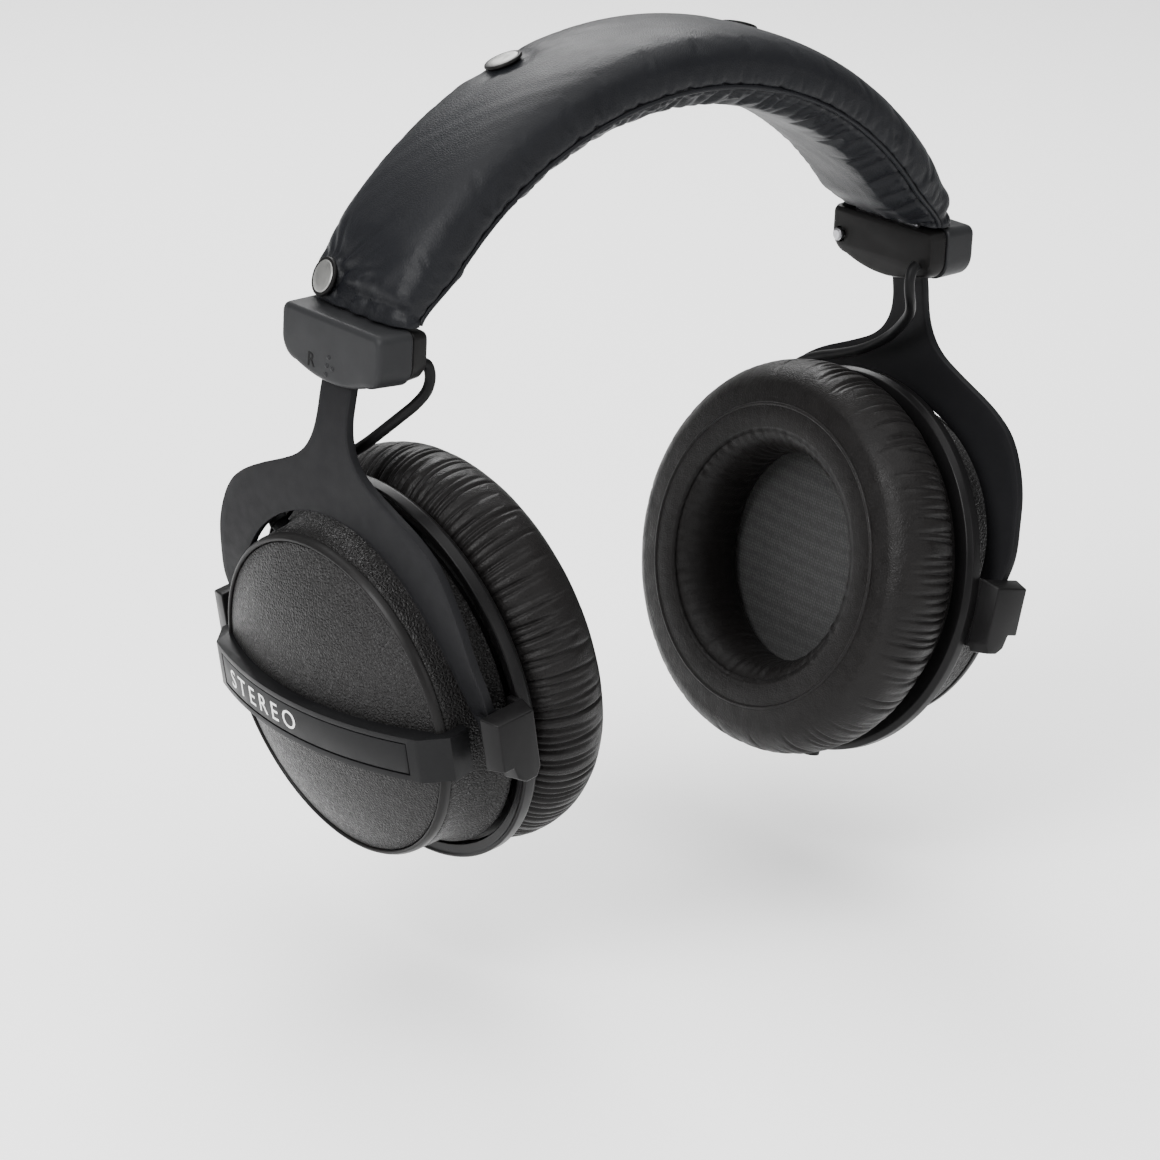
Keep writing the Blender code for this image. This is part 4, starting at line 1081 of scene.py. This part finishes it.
def build_headband():
    arc_count, bend_count, around = 170, 80, 264
    stations = pad_stations(arc_count, bend_count)
    centres = np.array([s[0] for s in stations])
    travel = np.concatenate([[0], np.cumsum(np.linalg.norm(np.diff(centres, axis=0), axis=1))])
    travel /= MM
    total = travel[-1]
    middle = len(stations) // 2
    upper = middle + round(arc_count * 20.5 / 50)
    lower = middle + arc_count + round(bend_count * 0.75)
    angles = 2 * math.pi * (np.arange(around) + 0.5) / around
    depth_share, width_share = superellipse(angles)
    relief = skin_relief(travel, total, angles, width_share * PAD_HALF_WIDTH / MM,
                         total - travel[upper], total - travel[lower])
    plain = np.array([section_points(s, depth_share * s[2], width_share * s[3])
                      for s in stations])
    snaps = [index for k in (upper, lower) for index in (k, len(stations) - 1 - k)]
    relief += cushion_swell(plain, stations, angles, snaps)
    bump_depth = signed_power(depth_share, SECTION_POWER - 1)
    bump_width = signed_power(width_share, SECTION_POWER - 1)
    outer, inner = [], []
    for row, station in zip(relief, stations):
        half_depth, half_width = station[2:]
        normal = np.stack([bump_depth / half_depth, bump_width / half_width], axis=1)
        normal /= np.linalg.norm(normal, axis=1, keepdims=True)
        for ring, shift in ((outer, row * MM), (inner, np.full(around, -LEATHER_THICK))):
            depth = depth_share * half_depth + normal[:, 0] * shift
            width = width_share * half_width + normal[:, 1] * shift
            ring.append(section_points(station, depth, width))
    rows = np.array(outer + inner[::-1])
    cover = add_mesh("headband_skin", grid_mesh("cover", rows, wrap_rows=True), LEATHER,
                     degrees=180)
    place_piece(cover, "headband", "headband_leather", "headband_cover")

    for seam_name, seam in SEAMS:
        depth, width = superellipse(seam)
        line = [centre + outward * float(depth) * (half_depth - 0.1 * MM)
                + Vector((0, float(width) * (half_width - 0.1 * MM), 0))
                for centre, outward, half_depth, half_width in stations[3:-3]]
        piping = tube("headband_piping_" + seam_name, line, 0.55 * MM, LEATHER, 12)
        place_piece(piping, "headband", "headband_leather")
    build_stitches(stations)
    for name, side in SIDES:
        for place, index in (("upper", upper), ("lower", lower)):
            index = index if side > 0 else len(stations) - 1 - index
            build_snap(place, name, snap_frame(stations, index, 0.1 * MM))


def build_stitches(stations):
    """A row of small stitches beside the rear edge, where the cover is laced shut."""
    bm = bmesh.new()
    for station, after in zip(stations[8:-8:4], stations[10:-6:4]):
        first, second = (pad_point(s, s[3] * 0.975) for s in (station, after))
        outward = (station[1] + Vector((0, 1.2, 0))).normalized()
        middle = (first + second) / 2 + outward * 0.12 * MM
        along = (second - first).normalized()
        across = along.cross(outward).normalized()
        matrix = Matrix((along * 0.75 * MM, across * 0.26 * MM,
                         outward * 0.24 * MM)).transposed().to_4x4()
        matrix.translation = middle
        bmesh.ops.create_uvsphere(bm, u_segments=10, v_segments=6, radius=1.0, matrix=matrix)
    mesh = bpy.data.meshes.new("stitches")
    bm.to_mesh(mesh)
    bm.free()
    stitches = add_mesh("headband_stitches", mesh, THREAD)
    place_piece(stitches, "headband", "headband_leather")


def build_snap(place, name, matrix):
    rim = turned("snap_rim_%s_%s" % (place, name),
                 offset_from(SNAP_R, 0, (-0.75, 0.75), (-0.1, 0.7), (0.1, 0.1), (-0.4, -0.35),
                             (-1.2, -0.3), (-1.2, 0.4)),
                 HOUSING_DARK, matrix, steps=72, radius=0.2 * MM)
    cap = turned("snap_cap_%s_%s" % (place, name),
                 mm((0, 1.12), (2.4, 1.05), (3.6, 0.86), (4.05, 0.5), (4.0, -0.2), (0, -0.2)),
                 NICKEL, matrix, steps=72, radius=0.35 * MM)
    place_piece(rim, "headband", "snap_nickel")
    place_piece(cap, "headband", "snap_nickel", "snap_%s_%s" % (place, name))


# --- leads ---

def tube(name, path, radius, material, around=20):
    """Closed tube along a list of points, kept from twisting."""
    points = [Vector(p) for p in path]
    rows = np.zeros((len(points), around, 3))
    direction = (points[1] - points[0]).normalized()
    across = direction.orthogonal().normalized()
    for k, point in enumerate(points):
        before, after = points[max(k - 1, 0)], points[min(k + 1, len(points) - 1)]
        direction = (after - before).normalized()
        across = (across - direction * across.dot(direction)).normalized()
        other = direction.cross(across)
        for j in range(around):
            angle = 2 * math.pi * j / around
            rows[k, j] = point + (across * math.cos(angle) + other * math.sin(angle)) * radius
    return add_mesh(name, grid_mesh(name, rows, caps=True), material, degrees=60)


def smooth_route(points, pieces):
    """Catmull-Rom curve through the points."""
    route = [points[0]]
    padded = [points[0] * 2 - points[1]] + points + [points[-1] * 2 - points[-2]]
    for a, b, c, d in zip(padded, padded[1:], padded[2:], padded[3:]):
        for k in range(1, pieces + 1):
            t = k / pieces
            route.append((b * 2 + (c - a) * t + (a * 2 - b * 5 + c * 4 - d) * t * t
                          + (b * 3 - a - c * 3 + d) * t ** 3) * 0.5)
    return route


JUMPER_POINTS = ((76.9, -14, -48.3), (75.4, -14.2, -49.4), (74.7, -14.3, -52.2),
                 (75.4, -14, -55.4), (77.4, -12.6, -58.6), (79.8, -10, -62), (81.4, -6, -66),
                 (82.4, -1.5, -70), (82.8, 4, -73.8), (83, 10, -77), (83.2, 17, -79.8),
                 (83.3, 24, -82.2), (83.3, 30, -85), (83.1, 34.4, -88.6), (82.7, 35.4, -92.4),
                 (82.2, 33.6, -95.2))
JUMPER_SPLIT = 9
LEAD_R = 1.3 * MM


def grommet_frame(side, matrix):
    outward = Vector((math.cos(math.radians(45)), -side * math.sin(math.radians(45)), 0))
    frame_matrix = outward.to_track_quat("Z", "Y").to_matrix().to_4x4()
    frame_matrix.translation = outward * 43 * MM + Vector((0, 0, -0.5 * MM))
    return matrix @ frame_matrix


def build_jumper(name, side, matrix):
    """The lead bows from the headband past the yoke into the cup, in two joined lengths."""
    points = [Vector((side * x * MM, y * MM, z * MM)) for x, y, z in JUMPER_POINTS]
    mouth = grommet_frame(side, matrix)
    points += [mouth @ Vector((0, 0, 4.4 * MM)), mouth @ Vector((0, 0, 1.0 * MM))]
    pieces = 6
    route = smooth_route(points, pieces)
    split = JUMPER_SPLIT * pieces
    halves = (("upper", route[:split + 1], "headband", "yoke_assembly_" + name),
              ("lower", route[split:][::-1], "cup_" + name, "yoke_assembly_" + name))
    for part, path, first, second in halves:
        lead = tube("jumper_%s_%s" % (part, name), path, LEAD_R, RUBBER)
        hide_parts("jumper_lead_" + name)
        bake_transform(lead)
    sleeve = turned("jumper_sleeve_" + name,
                    [(LEAD_R - 0.1 * MM, 2.9 * MM), (2.0 * MM, 2.9 * MM), (2.55 * MM, 0.1 * MM),
                     (2.1 * MM, -0.2 * MM), (2.1 * MM, -3.0 * MM), (LEAD_R - 0.1 * MM, -3.0 * MM)],
                    RUBBER, mouth, steps=48, radius=0.3 * MM)
    place_piece(sleeve, "cup_" + name, "lead_rubber", "lead_grommet_" + name)


def build_gland(matrix):
    spot = matrix @ Matrix.Translation((-41.6 * MM, 0, -0.5 * MM)) @ Matrix.Rotation(
        math.radians(-90), 4, "Y")
    outline = mm((1.9, 9.8), (2.9, 9.8))
    for k in range(5):
        level = 8.6 - 1.7 * k
        radius = 3.0 + 0.12 * k
        outline += mm((radius, level), (radius, level - 0.5), (radius - 0.45, level - 0.6),
                      (radius - 0.4, level - 1.1), (radius + 0.1, level - 1.2))
    outline += mm((3.9, 0.9), (3.4, 0.5), (3.3, -2.9), (1.9, -2.9))
    gland = turned("cable_gland_skin", outline, RUBBER, spot, steps=64, radius=0.18 * MM)
    place_piece(gland, "cup_l", "lead_rubber", "cable_gland")


# --- studio ---

FLOOR_LEVEL = -0.203
FLOOR_HALF = 4.0
WORLD_STRENGTH = 0.32
LIT_POINT = Vector((0, 0, -0.09))
LIGHTS = (("overhead", (0, 0.1, 1.7), (2.6, 2.6), 70.0),
          ("key", (-0.95, -0.25, 0.55), (0.5, 0.6), 20.0),
          ("front", (0.10, -1.2, 0.35), (0.5, 0.8), 5.0),
          ("rim", (0.45, 0.75, 0.6), (0.6, 0.4), 9.0))


def area_light(name, place, size, power):
    data = bpy.data.lights.new(name, "AREA")
    data.shape = "RECTANGLE"
    data.size, data.size_y = size
    data.energy = power
    light = link_object(name, data)
    light.location = place
    light.rotation_euler = (LIT_POINT - Vector(place)).to_track_quat("-Z", "Y").to_euler()


def build_studio():
    world = bpy.data.worlds.new("studio")
    world.use_nodes = True
    set_inputs(world.node_tree.nodes["Background"], {"Color": (1, 1, 1, 1),
                                                      "Strength": WORLD_STRENGTH})
    bpy.context.scene.world = world
    mesh = bpy.data.meshes.new("floor")
    corners = ((-1, -1), (1, -1), (1, 1), (-1, 1))
    mesh.from_pydata([(x * FLOOR_HALF, y * FLOOR_HALF, FLOOR_LEVEL) for x, y in corners], [],
                     [(0, 1, 2, 3)])
    mesh.materials.append(FLOOR)
    floor = link_object("floor", mesh)
    for light in LIGHTS:
        area_light(*light)


def main():
    build_headband()
    paint("spring_band", STEEL)
    paint("headband_foam", FOAM)
    paint("headband_lead", RUBBER)
    for name, side in SIDES:
        matrix = cup_matrix(side)
        build_housing(name, side)
        build_side_mark(name, side)
        build_yoke(name, side)
        build_dome(name, matrix)
        build_badge(name, matrix)
        build_label(name, matrix)
        build_ring(name, matrix)
        build_blocks(name, side, matrix)
        build_ear_pad(name, matrix, 5 + side)
        build_jumper(name, side, matrix)
        paint_inner_parts(name)
    build_gland(cup_matrix(1))
    build_studio()


main()
